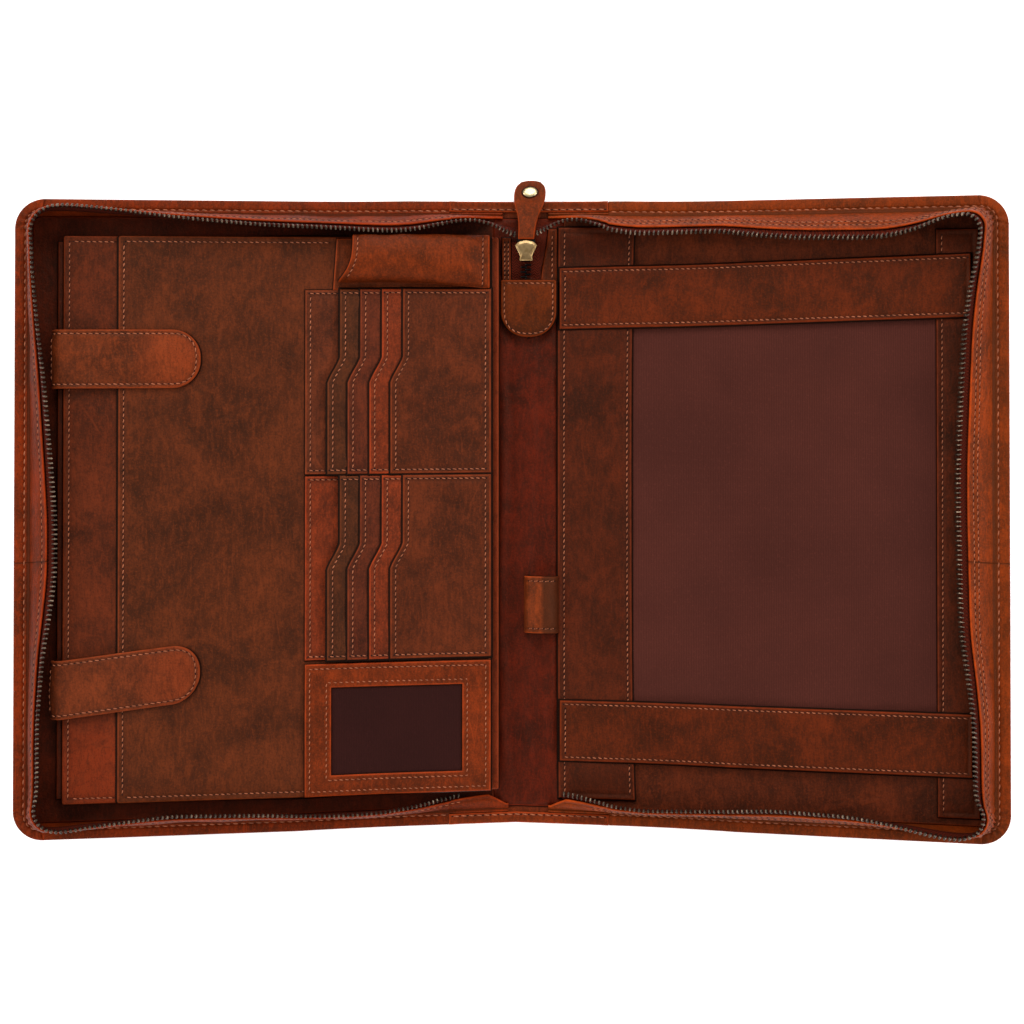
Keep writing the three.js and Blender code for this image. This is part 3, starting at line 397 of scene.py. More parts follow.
    def build(self, name, material, nodes=()):
        a, b, closed = self.ring_grid() if self.hole else self.grid()
        rows, columns = a.shape
        upper = self.point(a, b)
        raised = 0.2 * self.thick if self.skirt else 0.0
        foot = np.full(a.shape, self.low + raised)
        lower = drape(*self.place(*self.feet(a, b, closed), foot))
        over = np.arange(a.size).reshape(a.shape)
        under = over + a.size
        faces = []
        for i in range(rows - 1):
            for k in range(columns if closed else columns - 1):
                n = (k + 1) % columns
                faces.append((over[i, k], over[i, n], over[i + 1, n], over[i + 1, k]))
                faces.append((under[i + 1, k], under[i + 1, n], under[i, n], under[i, k]))
        if closed:
            loops = [over[0], over[-1][::-1]]
        else:
            loops = [np.concatenate([
                over[0, :-1], over[:-1, -1], over[-1, :0:-1], over[:0:-1, 0],
            ])]
        for loop in loops:
            for here, on in zip(loop, np.roll(loop, -1)):
                faces.append((here, here + a.size, on + a.size, on))
        near = self.distance(a, b)
        blank = np.zeros(a.size)
        marks = {
            "rim": np.concatenate([np.exp(-near / 0.9).ravel(), blank]),
            "seam": np.concatenate([self.groove(a, b).ravel(), blank]),
            "wall": np.concatenate([blank, blank + 1]),
            "warm": np.concatenate([self.warmth(a, b).ravel(), blank]),
            "shade": np.concatenate([self.shade(a, b).ravel(), blank]),
        }
        points = np.concatenate([upper.reshape(-1, 3), lower.reshape(-1, 3)])
        return make_object(name, points, faces, material, nodes, marks)


def cut(node, tone, *shape, **options):
    """A leather Leaf in the colour of tone, which stands for one solid of the CAD model."""
    leaf = Leaf(*shape, **options)
    leaf.build(node + "_leather", LEATHERS[tone], [node])
    return leaf


# Stitches

THREADS = {}
HOLES = []
HOLE_LONG = 0.62
HOLE_WIDE = 0.4
HOLE_REACH = 0.3
HOLE_RISE, HOLE_DIP = 0.09, -0.25
THREAD_RINGS = 5
SIDES = 6
SEW_STEP = 0.8
SKEW = 0.42


def along_path(points, run, at):
    return np.stack([np.interp(at, run, points[:, k]) for k in range(3)], axis=-1)


def stitch(points, normals, pitch, group, thread=0.3, fill=0.66):
    """A row of stitches along points in metres, kept in a group that becomes one mesh."""
    steps = np.linalg.norm(np.diff(points, axis=0), axis=1)
    run = np.concatenate([[0], np.cumsum(steps)])
    count = int(run[-1] / (pitch * MM))
    if count < 1:
        return
    first = (run[-1] - count * pitch * MM) / 2
    share = np.linspace(0, 1, THREAD_RINGS)
    starts = first + pitch * MM * (np.arange(count)[:, None] + (1 - fill) / 2)
    at = starts + share[None, :] * pitch * fill * MM
    centre = along_path(points, run, at)
    normal = unit(along_path(normals, run, at))
    along = unit(centre[:, -1:] - centre[:, :1])
    side = unit(np.cross(along, normal))
    bow = np.sin(math.pi * share)[None, :, None]
    centre = centre + normal * (thread * MM * (0.95 * bow - 0.3))
    centre = centre + side * (SKEW * MM * (share - 0.5)[None, :, None])
    girth = thread * MM * (0.55 + 0.45 * bow)
    turns = np.linspace(0, 2 * math.pi, SIDES, endpoint=False)
    ring = np.cos(turns)[None, None, :, None] * side[:, :, None, :]
    ring = ring + 0.8 * np.sin(turns)[None, None, :, None] * normal[:, :, None, :]
    tubes = centre[:, :, None, :] + girth[..., None] * ring
    THREADS.setdefault(group, []).append(tubes.reshape(count, THREAD_RINGS * SIDES, 3))
    pierce(points, normals, run, first + pitch * MM * np.arange(count + 1))


def pierce(points, normals, run, at):
    """The needle's holes: small dips between the stitches, coloured dark as painted shade inside
    them.
    """
    reach = HOLE_REACH * MM
    centre = along_path(points, run, at)
    normal = unit(along_path(normals, run, at))
    along = unit(along_path(points, run, at + reach) - along_path(points, run, at - reach))
    side = unit(np.cross(along, normal))
    turns = np.linspace(0, 2 * math.pi, SIDES, endpoint=False)
    ring = HOLE_LONG * np.cos(turns)[None, :, None] * along[:, None, :]
    ring = ring + HOLE_WIDE * np.sin(turns)[None, :, None] * side[:, None, :]
    ends = np.stack([HOLE_RISE * normal, HOLE_DIP * normal], axis=1)
    HOLES.append(centre[:, None, :] + MM * np.concatenate([ring, ends], axis=1))


def build_holes(material):
    spots = np.concatenate(HOLES)
    dip = []
    for k in range(SIDES):
        n = (k + 1) % SIDES
        dip += [(k, n, SIDES), (n, k, SIDES + 1)]
    faces = copies(dip, len(spots), SIDES + 2)
    make_object("needle_holes", spots.reshape(-1, 3), faces, material)


def sew(leaf, path, group, pitch=3.1, **options):
    """Stitches along a path of (a, b) corners on a leaf."""
    path = np.asarray(path, float)
    pieces = []
    for start, end in zip(path[:-1], path[1:]):
        count = max(int(np.hypot(*(end - start)) / SEW_STEP), 2)
        share = np.linspace(0, 1, count, endpoint=False)[:, None]
        pieces.append(start + (end - start) * share)
    places = np.concatenate([*pieces, path[-1:]])
    a, b = places[:, 0], places[:, 1]
    stitch(leaf.point(a, b), leaf.normal(a, b), pitch, group, **options)


def build_threads(group, material):
    tubes = np.concatenate(THREADS[group])
    faces = copies(tube_faces(THREAD_RINGS, SIDES), len(tubes), THREAD_RINGS * SIDES)
    make_object(group, tubes.reshape(-1, 3), faces, material)


def round_path(corners, steps=6):
    """A path of (a, b) corners whose corners with a radius are turned into arcs."""
    path = []
    for i, (a, b, radius) in enumerate(corners):
        here = np.array([a, b], float)
        if not radius or i in (0, len(corners) - 1):
            path.append(here)
            continue
        back = unit(np.array(corners[i - 1][:2], float) - here)
        on = unit(np.array(corners[i + 1][:2], float) - here)
        for share in np.linspace(0, 1, steps + 1):
            start, end = here + back * radius, here + on * radius
            path.append(
                (1 - share) ** 2 * start + 2 * share * (1 - share) * here + share**2 * end
            )
    return np.array(path)


# Materials


def linear(colour):
    """A colour given as red, green and blue from 0 to 255, as the shaders want it."""
    shares = [c / 255 for c in colour]
    return tuple(s / 12.92 if s <= 0.04045 else ((s + 0.055) / 1.055) ** 2.4 for s in shares)


class Graph:
    """Short ways to build a material's nodes."""

    def __init__(self, name):
        self.material = bpy.data.materials.new(name)
        self.material.use_nodes = True
        self.tree = self.material.node_tree
        self.shader = self.tree.nodes["Principled BSDF"]
        self.place = self.tree.nodes.new("ShaderNodeTexCoord").outputs["Object"]

    def node(self, kind, **settings):
        node = self.tree.nodes.new(kind)
        for key, value in settings.items():
            setattr(node, key, value)
        return node

    def link(self, source, target):
        self.tree.links.new(source, target)

    def feed(self, socket, value):
        """Links a socket to another one, or sets it to a number or a colour."""
        if isinstance(value, bpy.types.NodeSocket):
            self.link(value, socket)
        elif socket.type == "RGBA":
            socket.default_value = (*value, 1)
        else:
            socket.default_value = value

    def placed(self, output, kind, vector, inputs, **settings):
        """The output of a node that works at vector, with its other inputs set."""
        node = self.node(kind, **settings)
        self.link(vector, node.inputs["Vector"])
        for key, value in inputs.items():
            node.inputs[key].default_value = value
        return node.outputs[output]

    def mapped(self, vector, **inputs):
        return self.placed("Vector", "ShaderNodeMapping", vector, inputs)

    def shifted(self, seed, stretch=(1, 1, 1)):
        away = (0.37 * seed, 0.61 * seed, 0.23 * seed)
        return self.mapped(self.place, Location=away, Scale=stretch)

    def noise(self, vector, scale, detail=3.0, rough=0.55, twist=0.0):
        inputs = {"Scale": scale, "Detail": detail, "Roughness": rough, "Distortion": twist}
        return self.placed("Fac", "ShaderNodeTexNoise", vector, inputs)

    def cells(self, vector, scale, feature="F1"):
        kind = "ShaderNodeTexVoronoi"
        return self.placed("Distance", kind, vector, {"Scale": scale}, feature=feature)

    def ramp(self, value, stops):
        node = self.node("ShaderNodeValToRGB")
        self.link(value, node.inputs["Fac"])
        elements = node.color_ramp.elements
        while len(elements) < len(stops):
            elements.new(0.5)
        for element, (at, level) in zip(elements, stops):
            element.position = at
            element.color = (level, level, level, 1)
        return node.outputs["Color"]

    def mix(self, share, low, high, blend="MIX"):
        node = self.node("ShaderNodeMix", data_type="RGBA", blend_type=blend)
        sockets = [s for s in node.inputs if s.type == "RGBA"]
        self.feed(node.inputs["Factor"], share)
        for socket, value in zip(sockets, (low, high)):
            self.feed(socket, value)
        return next(s for s in node.outputs if s.type == "RGBA")

    def maths(self, operation, *values):
        node = self.node("ShaderNodeMath", operation=operation)
        for socket, value in zip(node.inputs, values):
            self.feed(socket, value)
        return node.outputs["Value"]

    def mark(self, name):
        return self.node("ShaderNodeAttribute", attribute_name=name).outputs["Fac"]

    def wave(self, vector, scale, direction, twist=0.0):
        return self.placed(
            "Fac", "ShaderNodeTexWave", vector,
            {"Scale": scale, "Distortion": twist, "Detail": 1.0}, bands_direction=direction,
        )

    def bump(self, height, depth, strength=1.0, onto=None):
        node = self.node("ShaderNodeBump")
        self.link(height, node.inputs["Height"])
        node.inputs["Distance"].default_value = depth
        node.inputs["Strength"].default_value = strength
        if onto:
            self.link(onto, node.inputs["Normal"])
        return node.outputs["Normal"]

    def finish(self, colour, rough, normal, gloss=None):
        """Feeds the shader and gives the material."""
        for key, value in (("Base Color", colour), ("Roughness", rough), ("Normal", normal)):
            self.feed(self.shader.inputs[key], value)
        if gloss is not None:
            self.shader.inputs["Specular IOR Level"].default_value = gloss
        return self.material


# LIGHT and HAZE are the studio's light on a flat surface and its sheen on leather
LIGHT = 1.42
HAZE = np.array([0.012, 0.006, 0.004])
# Near-black of the cut edges and undersides: edge paint, plus painted shadow where the skirt shows
# it beside a piece
EDGE_PAINT_AND_SHADOW = (0.006, 0.0028, 0.002)
RIB_PITCH = 0.9


def lit(tone):
    """The colour a surface needs so that it looks like tone in the studio's bright light."""
    return np.maximum((np.array(linear(tone)) - HAZE) / LIGHT, 0.0006)


def leather(name, tone, seed):
    """Waxed pull-up leather: mottled; paler on rubbed, bent edges, partly as a painted highlight;
    darker in pressed stitch grooves, partly as painted shade, and darker where shade is painted.
    """
    graph = Graph(name)
    base = lit(tone)
    dark = tuple(base * (0.44, 0.5, 0.66))
    deep = tuple(base * (0.27, 0.38, 0.62))
    light = tuple(base * (1.8, 1.72, 1.6))
    rubbed_and_highlit = tuple(base * (2.6, 2.1, 1.7) + (0.02, 0.005, 0.001))
    ember = tuple(base * (2.1, 1.5, 1.1))
    vector = graph.shifted(seed)
    streaks = graph.shifted(seed + 3.7, (1, 0.45, 1))
    clouds = graph.noise(vector, 26, 6, 0.66, 0.7)
    patches = graph.noise(graph.shifted(seed + 1.3), 60, 5, 0.68, 1.0)
    dim_clouds = graph.noise(graph.shifted(seed + 5.1), 44, 5, 0.66, 0.8)
    marbling = graph.noise(streaks, 170, 6, 0.74, 1.4)
    speckle = graph.noise(vector, 950, 3, 0.75)
    slant = graph.mapped(vector, Rotation=(0, 0, 0.9), Scale=(1, 0.22, 1))
    strokes = graph.noise(slant, 620, 3, 0.7, 0.4)
    colour = graph.mix(graph.ramp(clouds, [(0.36, 0), (0.64, 1)]), dark, tuple(base * 1.18))
    colour = graph.mix(graph.mark("warm"), colour, ember)
    for pattern, start, end, layer in (
        (patches, (0.5, 0), (0.76, 0.62), light),
        (dim_clouds, (0.52, 0), (0.72, 0.7), deep),
        (marbling, (0.34, 0.4), (0.5, 0), deep),
        (marbling, (0.54, 0), (0.7, 0.42), light),
        (strokes, (0.34, 0.34), (0.5, 0), deep),
        (strokes, (0.52, 0), (0.7, 0.34), light),
        (speckle, (0.32, 0.5), (0.48, 0), deep),
        (speckle, (0.54, 0), (0.7, 0.5), light),
    ):
        colour = graph.mix(graph.ramp(pattern, [start, end]), colour, layer)
    scratch = graph.cells(graph.shifted(seed + 2.2, (1, 0.16, 1)), 95, "DISTANCE_TO_EDGE")
    scratch_on = graph.maths(
        "MULTIPLY",
        graph.ramp(scratch, [(0.0, 1), (0.02, 0)]),
        graph.ramp(graph.noise(graph.shifted(seed + 8.8), 30, 2), [(0.6, 0), (0.72, 0.6)]),
    )
    colour = graph.mix(scratch_on, colour, light)
    # Lighter towards the edges: rubbed edge wear, plus a painted highlight on the rounded edges and
    # folds
    uneven = graph.ramp(graph.noise(vector, 160, 3), [(0.3, 0.35), (0.7, 1)])
    rim = graph.ramp(graph.mark("rim"), [(0.34, 0), (0.75, 0.85)])
    colour = graph.mix(graph.maths("MULTIPLY", rim, uneven), colour, rubbed_and_highlit)
    # Darker in the stitch grooves: pressed leather, plus painted shade in the grooves
    colour = graph.mix(graph.maths("MULTIPLY", graph.mark("seam"), 0.5), colour, dark)
    # Painted shade: the colour goes towards the deep brown where shade is painted into the leather
    colour = graph.mix(graph.mark("shade"), colour, deep)
    # Edge paint and painted shadow: cut edges and undersides turn near-black, so a dark line shows
    # beside each piece
    colour = graph.mix(graph.ramp(graph.mark("wall"), [(0.04, 0), (0.22, 0.97)]), colour, EDGE_PAINT_AND_SHADOW)
    graph.shader.inputs["Specular Tint"].default_value = (1.0, 0.6, 0.4, 1)
    grain = graph.cells(vector, 820)
    pores = graph.noise(vector, 1500, 2)
    creases = graph.noise(streaks, 240, 5, 0.72, 1.2)
    normal = graph.bump(grain, 0.00014, 0.6)
    normal = graph.bump(pores, 0.00006, 0.5, normal)
    normal = graph.bump(creases, 0.0005, 0.6, normal)
    normal = graph.bump(patches, 0.001, 0.5, normal)
    return graph.finish(colour, graph.maths("MULTIPLY_ADD", clouds, 0.3, 0.42), normal, 0.16)


def ribbed_cloth(name, tone, seed):
    """Fine ribbed lining cloth."""
    graph = Graph(name)
    base = lit(tone)
    vector = graph.shifted(seed)
    warp = graph.wave(vector, 1 / (RIB_PITCH * MM) / 3.2, "X", 0.6)
    weft = graph.wave(vector, 1 / (RIB_PITCH * MM) / 2.2, "Y", 0.9)
    clouds = graph.noise(vector, 18, 3)
    lint = graph.noise(vector, 900, 2)
    tide = graph.ramp(clouds, [(0.35, 0), (0.65, 1)])
    colour = graph.mix(tide, tuple(base * 0.86), tuple(base * 1.14))
    colour = graph.mix(graph.ramp(warp, [(0.2, 0.55), (0.8, 0)]), colour, tuple(base * 0.5))
    colour = graph.mix(graph.ramp(weft, [(0.3, 0.4), (0.7, 0)]), colour, tuple(base * 0.55))
    colour = graph.mix(graph.ramp(lint, [(0.56, 0), (0.74, 0.22)]), colour, tuple(base * 1.9))
    normal = graph.bump(warp, 0.0001, 0.6)
    return graph.finish(colour, 0.85, graph.bump(weft, 0.0001, 0.6, normal), 0.08)


def woven_tape(name, tone, seed):
    """Zip tape in a herringbone weave."""
    graph = Graph(name)
    base = lit(tone)
    vector = graph.shifted(seed)
    left = graph.wave(vector, 330, "DIAGONAL", 0.3)
    right = graph.wave(graph.mapped(vector, Scale=(-1, 1, 1)), 330, "DIAGONAL", 0.3)
    lanes = graph.ramp(graph.wave(vector, 100, "X"), [(0.45, 0), (0.55, 1)])
    others = graph.maths("MULTIPLY", right, graph.maths("SUBTRACT", 1.0, lanes))
    weave = graph.maths("ADD", graph.maths("MULTIPLY", left, lanes), others)
    dips = graph.ramp(weave, [(0.25, 0.75), (0.75, 0)])
    colour = graph.mix(dips, tuple(base * 1.25), tuple(base * 0.45))
    return graph.finish(colour, 0.85, graph.bump(weave, 0.0003, 0.8), 0.08)


def metal(name, tone, rough, seed, worn_tone, worn_share):
    """Plated metal with paler worn patches spread at random."""
    graph = Graph(name)
    vector = graph.shifted(seed)
    patches = graph.noise(vector, 300, 4, 0.6)
    share = graph.ramp(patches, [(0.42, 0), (0.66, worn_share)])
    colour = graph.mix(share, tuple(lit(tone)), tuple(lit(worn_tone)))
    graph.shader.inputs["Metallic"].default_value = 1.0
    brushed = graph.noise(graph.shifted(seed + 2, (1, 9, 1)), 900, 3)
    polish = graph.maths("MULTIPLY_ADD", brushed, 0.22, rough - 0.1)
    return graph.finish(colour, polish, graph.bump(brushed, 0.00003, 0.5))


def thread_material(name, tone, seed):
    """Waxed thread with a slanting twist."""
    graph = Graph(name)
    base = lit(tone)
    vector = graph.shifted(seed)
    fibre = graph.wave(vector, 700, "DIAGONAL", 1.0)
    age = graph.noise(vector, 90, 3)
    aged = graph.ramp(age, [(0.35, 0), (0.65, 1)])
    colour = graph.mix(aged, tuple(base * 0.6), tuple(base * 1.2))
    colour = graph.mix(graph.ramp(fibre, [(0.2, 0.35), (0.8, 0)]), colour, tuple(base * 0.55))
    return graph.finish(colour, 0.6, graph.bump(fibre, 0.00008, 0.6), 0.15)


TONES = {
    "outer": (112, 45, 22),
    "gusset_left": (126, 44, 12),
    "gusset_right": (141, 55, 18),
    "lining_left": (76, 28, 9),
    "lining_spine": (86, 28, 5),
    "lining_right": (93, 40, 22),
    "under": (64, 26, 12),
    "organiser_back": (93, 40, 22),
    "slip_front": (93, 43, 23),
    "strap_upper": (113, 50, 25),
    "strap_lower": (109, 49, 26),
    "card_base_1": (97, 45, 26),
    "card_base_2": (119, 47, 24),
    "card_1": (80, 41, 24),
    "card_2": (92, 41, 25),
    "card_3": (120, 48, 25),
    "card_4": (94, 42, 23),
    "window": (121, 47, 20),
    "flap": (112, 47, 22),
    "pouch": (115, 45, 18),
    "loop": (124, 53, 24),
    "band": (80, 33, 18),
    "pad_strap": (91, 36, 17),
    "end_cover": (95, 39, 15),
    "tab": (115, 44, 15),
    "strip": (92, 37, 17),
    "hem": (124, 48, 20),
}
LEATHERS = {
    key: leather("leather_" + key, tone, 1.7 * i + 1)
    for i, (key, tone) in enumerate(TONES.items())
}
PANEL_CLOTH = ribbed_cloth("panel_cloth", (89, 45, 35), 2)
WINDOW_CLOTH = ribbed_cloth("window_cloth_weave", (61, 30, 24), 5)
TAPE_WEAVE = woven_tape("zip_tape_weave", (82, 30, 16), 4)
TEETH_METAL = metal("teeth_metal", (82, 68, 58), 0.42, 3, (184, 156, 130), 0.42)
SLIDER_METAL = metal("slider_metal", (38, 32, 30), 0.42, 6, (84, 74, 64), 0.3)
PLATE_BRASS = metal("worn_brass", (160, 128, 86), 0.36, 8, (200, 168, 120), 0.6)
RIVET_BRASS = metal("satin_brass", (206, 184, 140), 0.36, 9, (226, 208, 166), 0.6)
THREAD = thread_material("waxed_thread", (184, 108, 74), 1)
# Painted shade: the near-black colour of the needle holes
HOLE_PAINTED_SHADE = thread_material("needle_hole_shade", (38, 18, 12), 2)


# The outer leather, linings and spine

HEM_LAP = 1.6
HEM_STITCH_INSET = 4.6
SPINE_LEFT, SPINE_RIGHT = -12.0, 26.0


def build_shell():
    shell = Leaf(
        -LEFT_WIDTH, RIGHT_WIDTH, -HALF_HEIGHT, HALF_HEIGHT, 0, SHELL,
        corners=(CORNER,) * 4, step=5.0, round_edge=1.1, skirt=0,
    )
    shell.build("outer_leather", LEATHERS["outer"], ["outer_shell"])
    clear = FLANGE + GUSSET + GAP
    far = BASE_V - GUSSET - GAP
    inner = GUSSET_CORNER - GUSSET
    cut(
        "lining_left", "lining_left",
        -LEFT_WIDTH + clear, SPINE_LEFT - GAP, -far, far, FOOT_LOW, LINING,
        corners=(inner, 0, 0, inner), step=5.0, relief=lambda a, b: 0.2 * ripple(a, b, 40, 5),
    )
    cut(
        "lining_right", "lining_right",
        SPINE_RIGHT + GAP, RIGHT_WIDTH - clear, -far, far, FOOT_LOW, LINING,
        corners=(0, inner, inner, 0), step=3.8, relief=lambda a, b: 0.08 * ripple(a, b, 45, 4),
    )

    def folds(a, b):
        ends = smoothstep((far - np.abs(b)) / 40)
        ridge = 1.5 * np.exp(-(((a - 5 - 1.5 * np.sin(b / 60)) / 6) ** 2))
        edge = 1.1 * np.exp(-(((a + 7) / 3.0) ** 2)) + 1.0 * np.exp(-(((a - 19) / 3.4) ** 2))
        pinch = (1 - smoothstep((b + far) / 45)) * 0.8 * np.abs(np.sin(a / 3.2))
        creases = 0.22 * ripple(a, 0.12 * b, 4.5, 10) + 0.25 * ripple(a, b, 18, 9)
        return ends * (ridge + edge) + pinch + creases + 0.35

    spine = Leaf(SPINE_LEFT, SPINE_RIGHT, -far, far, FOOT_LOW, LINING, relief=folds, step=1.6)
    spine.build("spine_leather", LEATHERS["lining_spine"], ["lining_spine"])
    for end, name in ((1, "spine_hem_top"), (-1, "spine_hem_bottom")):
        inner_v, outer_v = BASE_V + HEM_OVERLAP + GAP, HALF_HEIGHT
        bottom, top = sorted((end * inner_v, end * outer_v))

        def lapped(a, b, w):
            """Both ends of the hem lie on the gusset's flange."""
            past = np.where(a < 0, -a - SEAM_LEFT, a - SEAM_RIGHT)
            return a, b, w + 0.7 * smoothstep((past + 4) / 4)

        hem = cut(
            name, "hem",
            -SEAM_LEFT - HEM_LAP, SEAM_RIGHT + HEM_LAP, bottom, top, FOOT_LOW, GUSSET,
            place=lapped, seams=(3.0,), step=1.5, skirt=0,
            relief=lambda a, b: 0.35 * ripple(a, 0.3 * b, 9, 21),
        )
        middle = end * (HALF_HEIGHT - HEM_STITCH_INSET)
        row = [(-SEAM_LEFT, middle), (SEAM_RIGHT, middle)]
        sew(hem, row, "stitches_hem", 4.2, thread=0.36)


# The gusset, the zip tape and the teeth


def smoothed(values, spread):
    reach = int(3 * spread)
    weights = np.exp(-0.5 * (np.arange(-reach, reach + 1) / spread) ** 2)
    padded = np.concatenate([np.full(reach, values[0]), values, np.full(reach, values[-1])])
    return np.convolve(padded, weights / weights.sum(), "valid")


def row_values(rows, at):
    table = np.array(rows)
    return np.interp(at, table[:, 0], table[:, 1]), np.interp(at, table[:, 0], table[:, 2])


def stops_round(sign, top_from, bottom_from, step=1.2):
    """Stations from the spine's top end round the half to its bottom end."""
    width = LEFT_WIDTH if sign < 0 else RIGHT_WIDTH
    base_u = width - FLANGE
    far_u = base_u - ZIP_CORNER
    seam = SEAM_LEFT if sign < 0 else SEAM_RIGHT
    rows = ZIP_LINE[sign]
    stops = {key: [] for key in ("foot", "line", "inward", "lean", "tall", "out", "rim", "side")}

    def add(foot, line, inward, lean, tall, out, rim, side):
        for key, value in zip(stops, (foot, line, inward, lean, tall, out, rim, side)):
            stops[key].append(value)

    def edge(end, start):
        leg = rows["top" if end > 0 else "bottom"]
        outs = np.arange(start, far_u, step)
        if start < seam:
            outs = np.sort(np.concatenate([outs, [seam - 0.05, seam + 0.05]]))
        if end < 0:
            outs = outs[::-1]
        for out in outs:
            at = out / far_u
            lean, tall = row_values(leg, out / width)
            foot = (sign * at * (base_u - GUSSET_CORNER), end * BASE_V)
            wide = HEM_OVERLAP if out < seam else FLANGE
            rim = (foot[0], foot[1] + end * wide)
            add(foot, (sign * out, end * BASE_V), (0, -end), lean, tall, out, rim, 0)

    def corner(end):
        last = row_values(rows["top" if end > 0 else "bottom"], 1)
        first = row_values(rows["side"], 0 if end > 0 else 1)
        shares = np.linspace(0, 1, 20)
        if end < 0:
            shares = shares[::-1]
        for share in shares:
            turn = share * math.pi / 2
            out = (sign * math.sin(turn), end * math.cos(turn))

            def arc(radius, wide, tall):
                return (
                    sign * (wide - radius) + radius * out[0],
                    end * (tall - radius) + radius * out[1],
                )

            lean = last[0] + (first[0] - last[0]) * share
            tall = last[1] + (first[1] - last[1]) * share
            rim = arc(CORNER, width, HALF_HEIGHT)
            foot, line = arc(GUSSET_CORNER, base_u, BASE_V), arc(ZIP_CORNER, base_u, BASE_V)
            add(foot, line, (-out[0], -out[1]), lean, tall, base_u, rim, 1)

    edge(1, top_from)
    corner(1)
    count = int(2 * (BASE_V - ZIP_CORNER) / step)
    seam_at = (1 - GUSSET_SEAM / (BASE_V - GUSSET_CORNER)) / 2
    for at in np.sort(np.append(np.linspace(0, 1, count)[1:-1], seam_at)):
        lean, tall = row_values(rows["side"], at)
        foot = (sign * base_u, (1 - 2 * at) * (BASE_V - GUSSET_CORNER))
        line = (sign * base_u, (1 - 2 * at) * (BASE_V - ZIP_CORNER))
        add(foot, line, (-sign, 0), lean, tall, base_u, (sign * width, foot[1]), 2)
    corner(-1)
    edge(-1, bottom_from)
    arrays = {key: np.array(value, float) for key, value in stops.items()}
    arrays["lean"] = smoothed(arrays["lean"], 6)
    arrays["tall"] = smoothed(arrays["tall"], 3)
    arrays["inward"] = unit(
        np.stack([smoothed(arrays["inward"][:, k], 2) for k in range(2)], axis=-1)
    )
    return arrays


def section_frame(stops):
    inward = stops["inward"]
    behind = GUSSET + TAPE_ROOM + TAPE / 2
    lean = stops["lean"] * SLANT
    height = stops["tall"] * np.sqrt(SLANT**2 - lean**2)
    start = np.column_stack([stops["foot"] + inward * behind, np.full(len(lean), FOOT_TOP)])
    end = np.column_stack(
        [stops["line"] + inward * (lean + behind / 2)[:, None], FOOT_TOP + height]
    )
    rise = unit(np.column_stack([lean - behind / 2, height]))
    face = np.column_stack([-inward * rise[:, 1:2], rise[:, 0]])
    return start, end, unit(end - start), face


def draped(points):
    return drape(points[..., 0], points[..., 1], points[..., 2])


def sweep(name, rings, material, nodes, marks=None, soft=True):
    """A closed skin over rings, an array of stations, points and coordinates in metres."""
    faces = tube_faces(*rings.shape[:2])
    return make_object(name, rings.reshape(-1, 3), faces, material, nodes, marks, soft)


PUCKER_LENGTH = 5.2
FLANGE_SHARES = (0.95, 0.88, 0.8, 0.7, 0.6, 0.52, 0.45, 0.38, 0.32, 0.26, 0.2, 0.14, 0.07)
FLANGE_ROW = {-1: 8, 1: 9}
# Painted shade on the gusset's inner face, which faces into the case
INSIDE_PAINTED_SHADE = 0.4


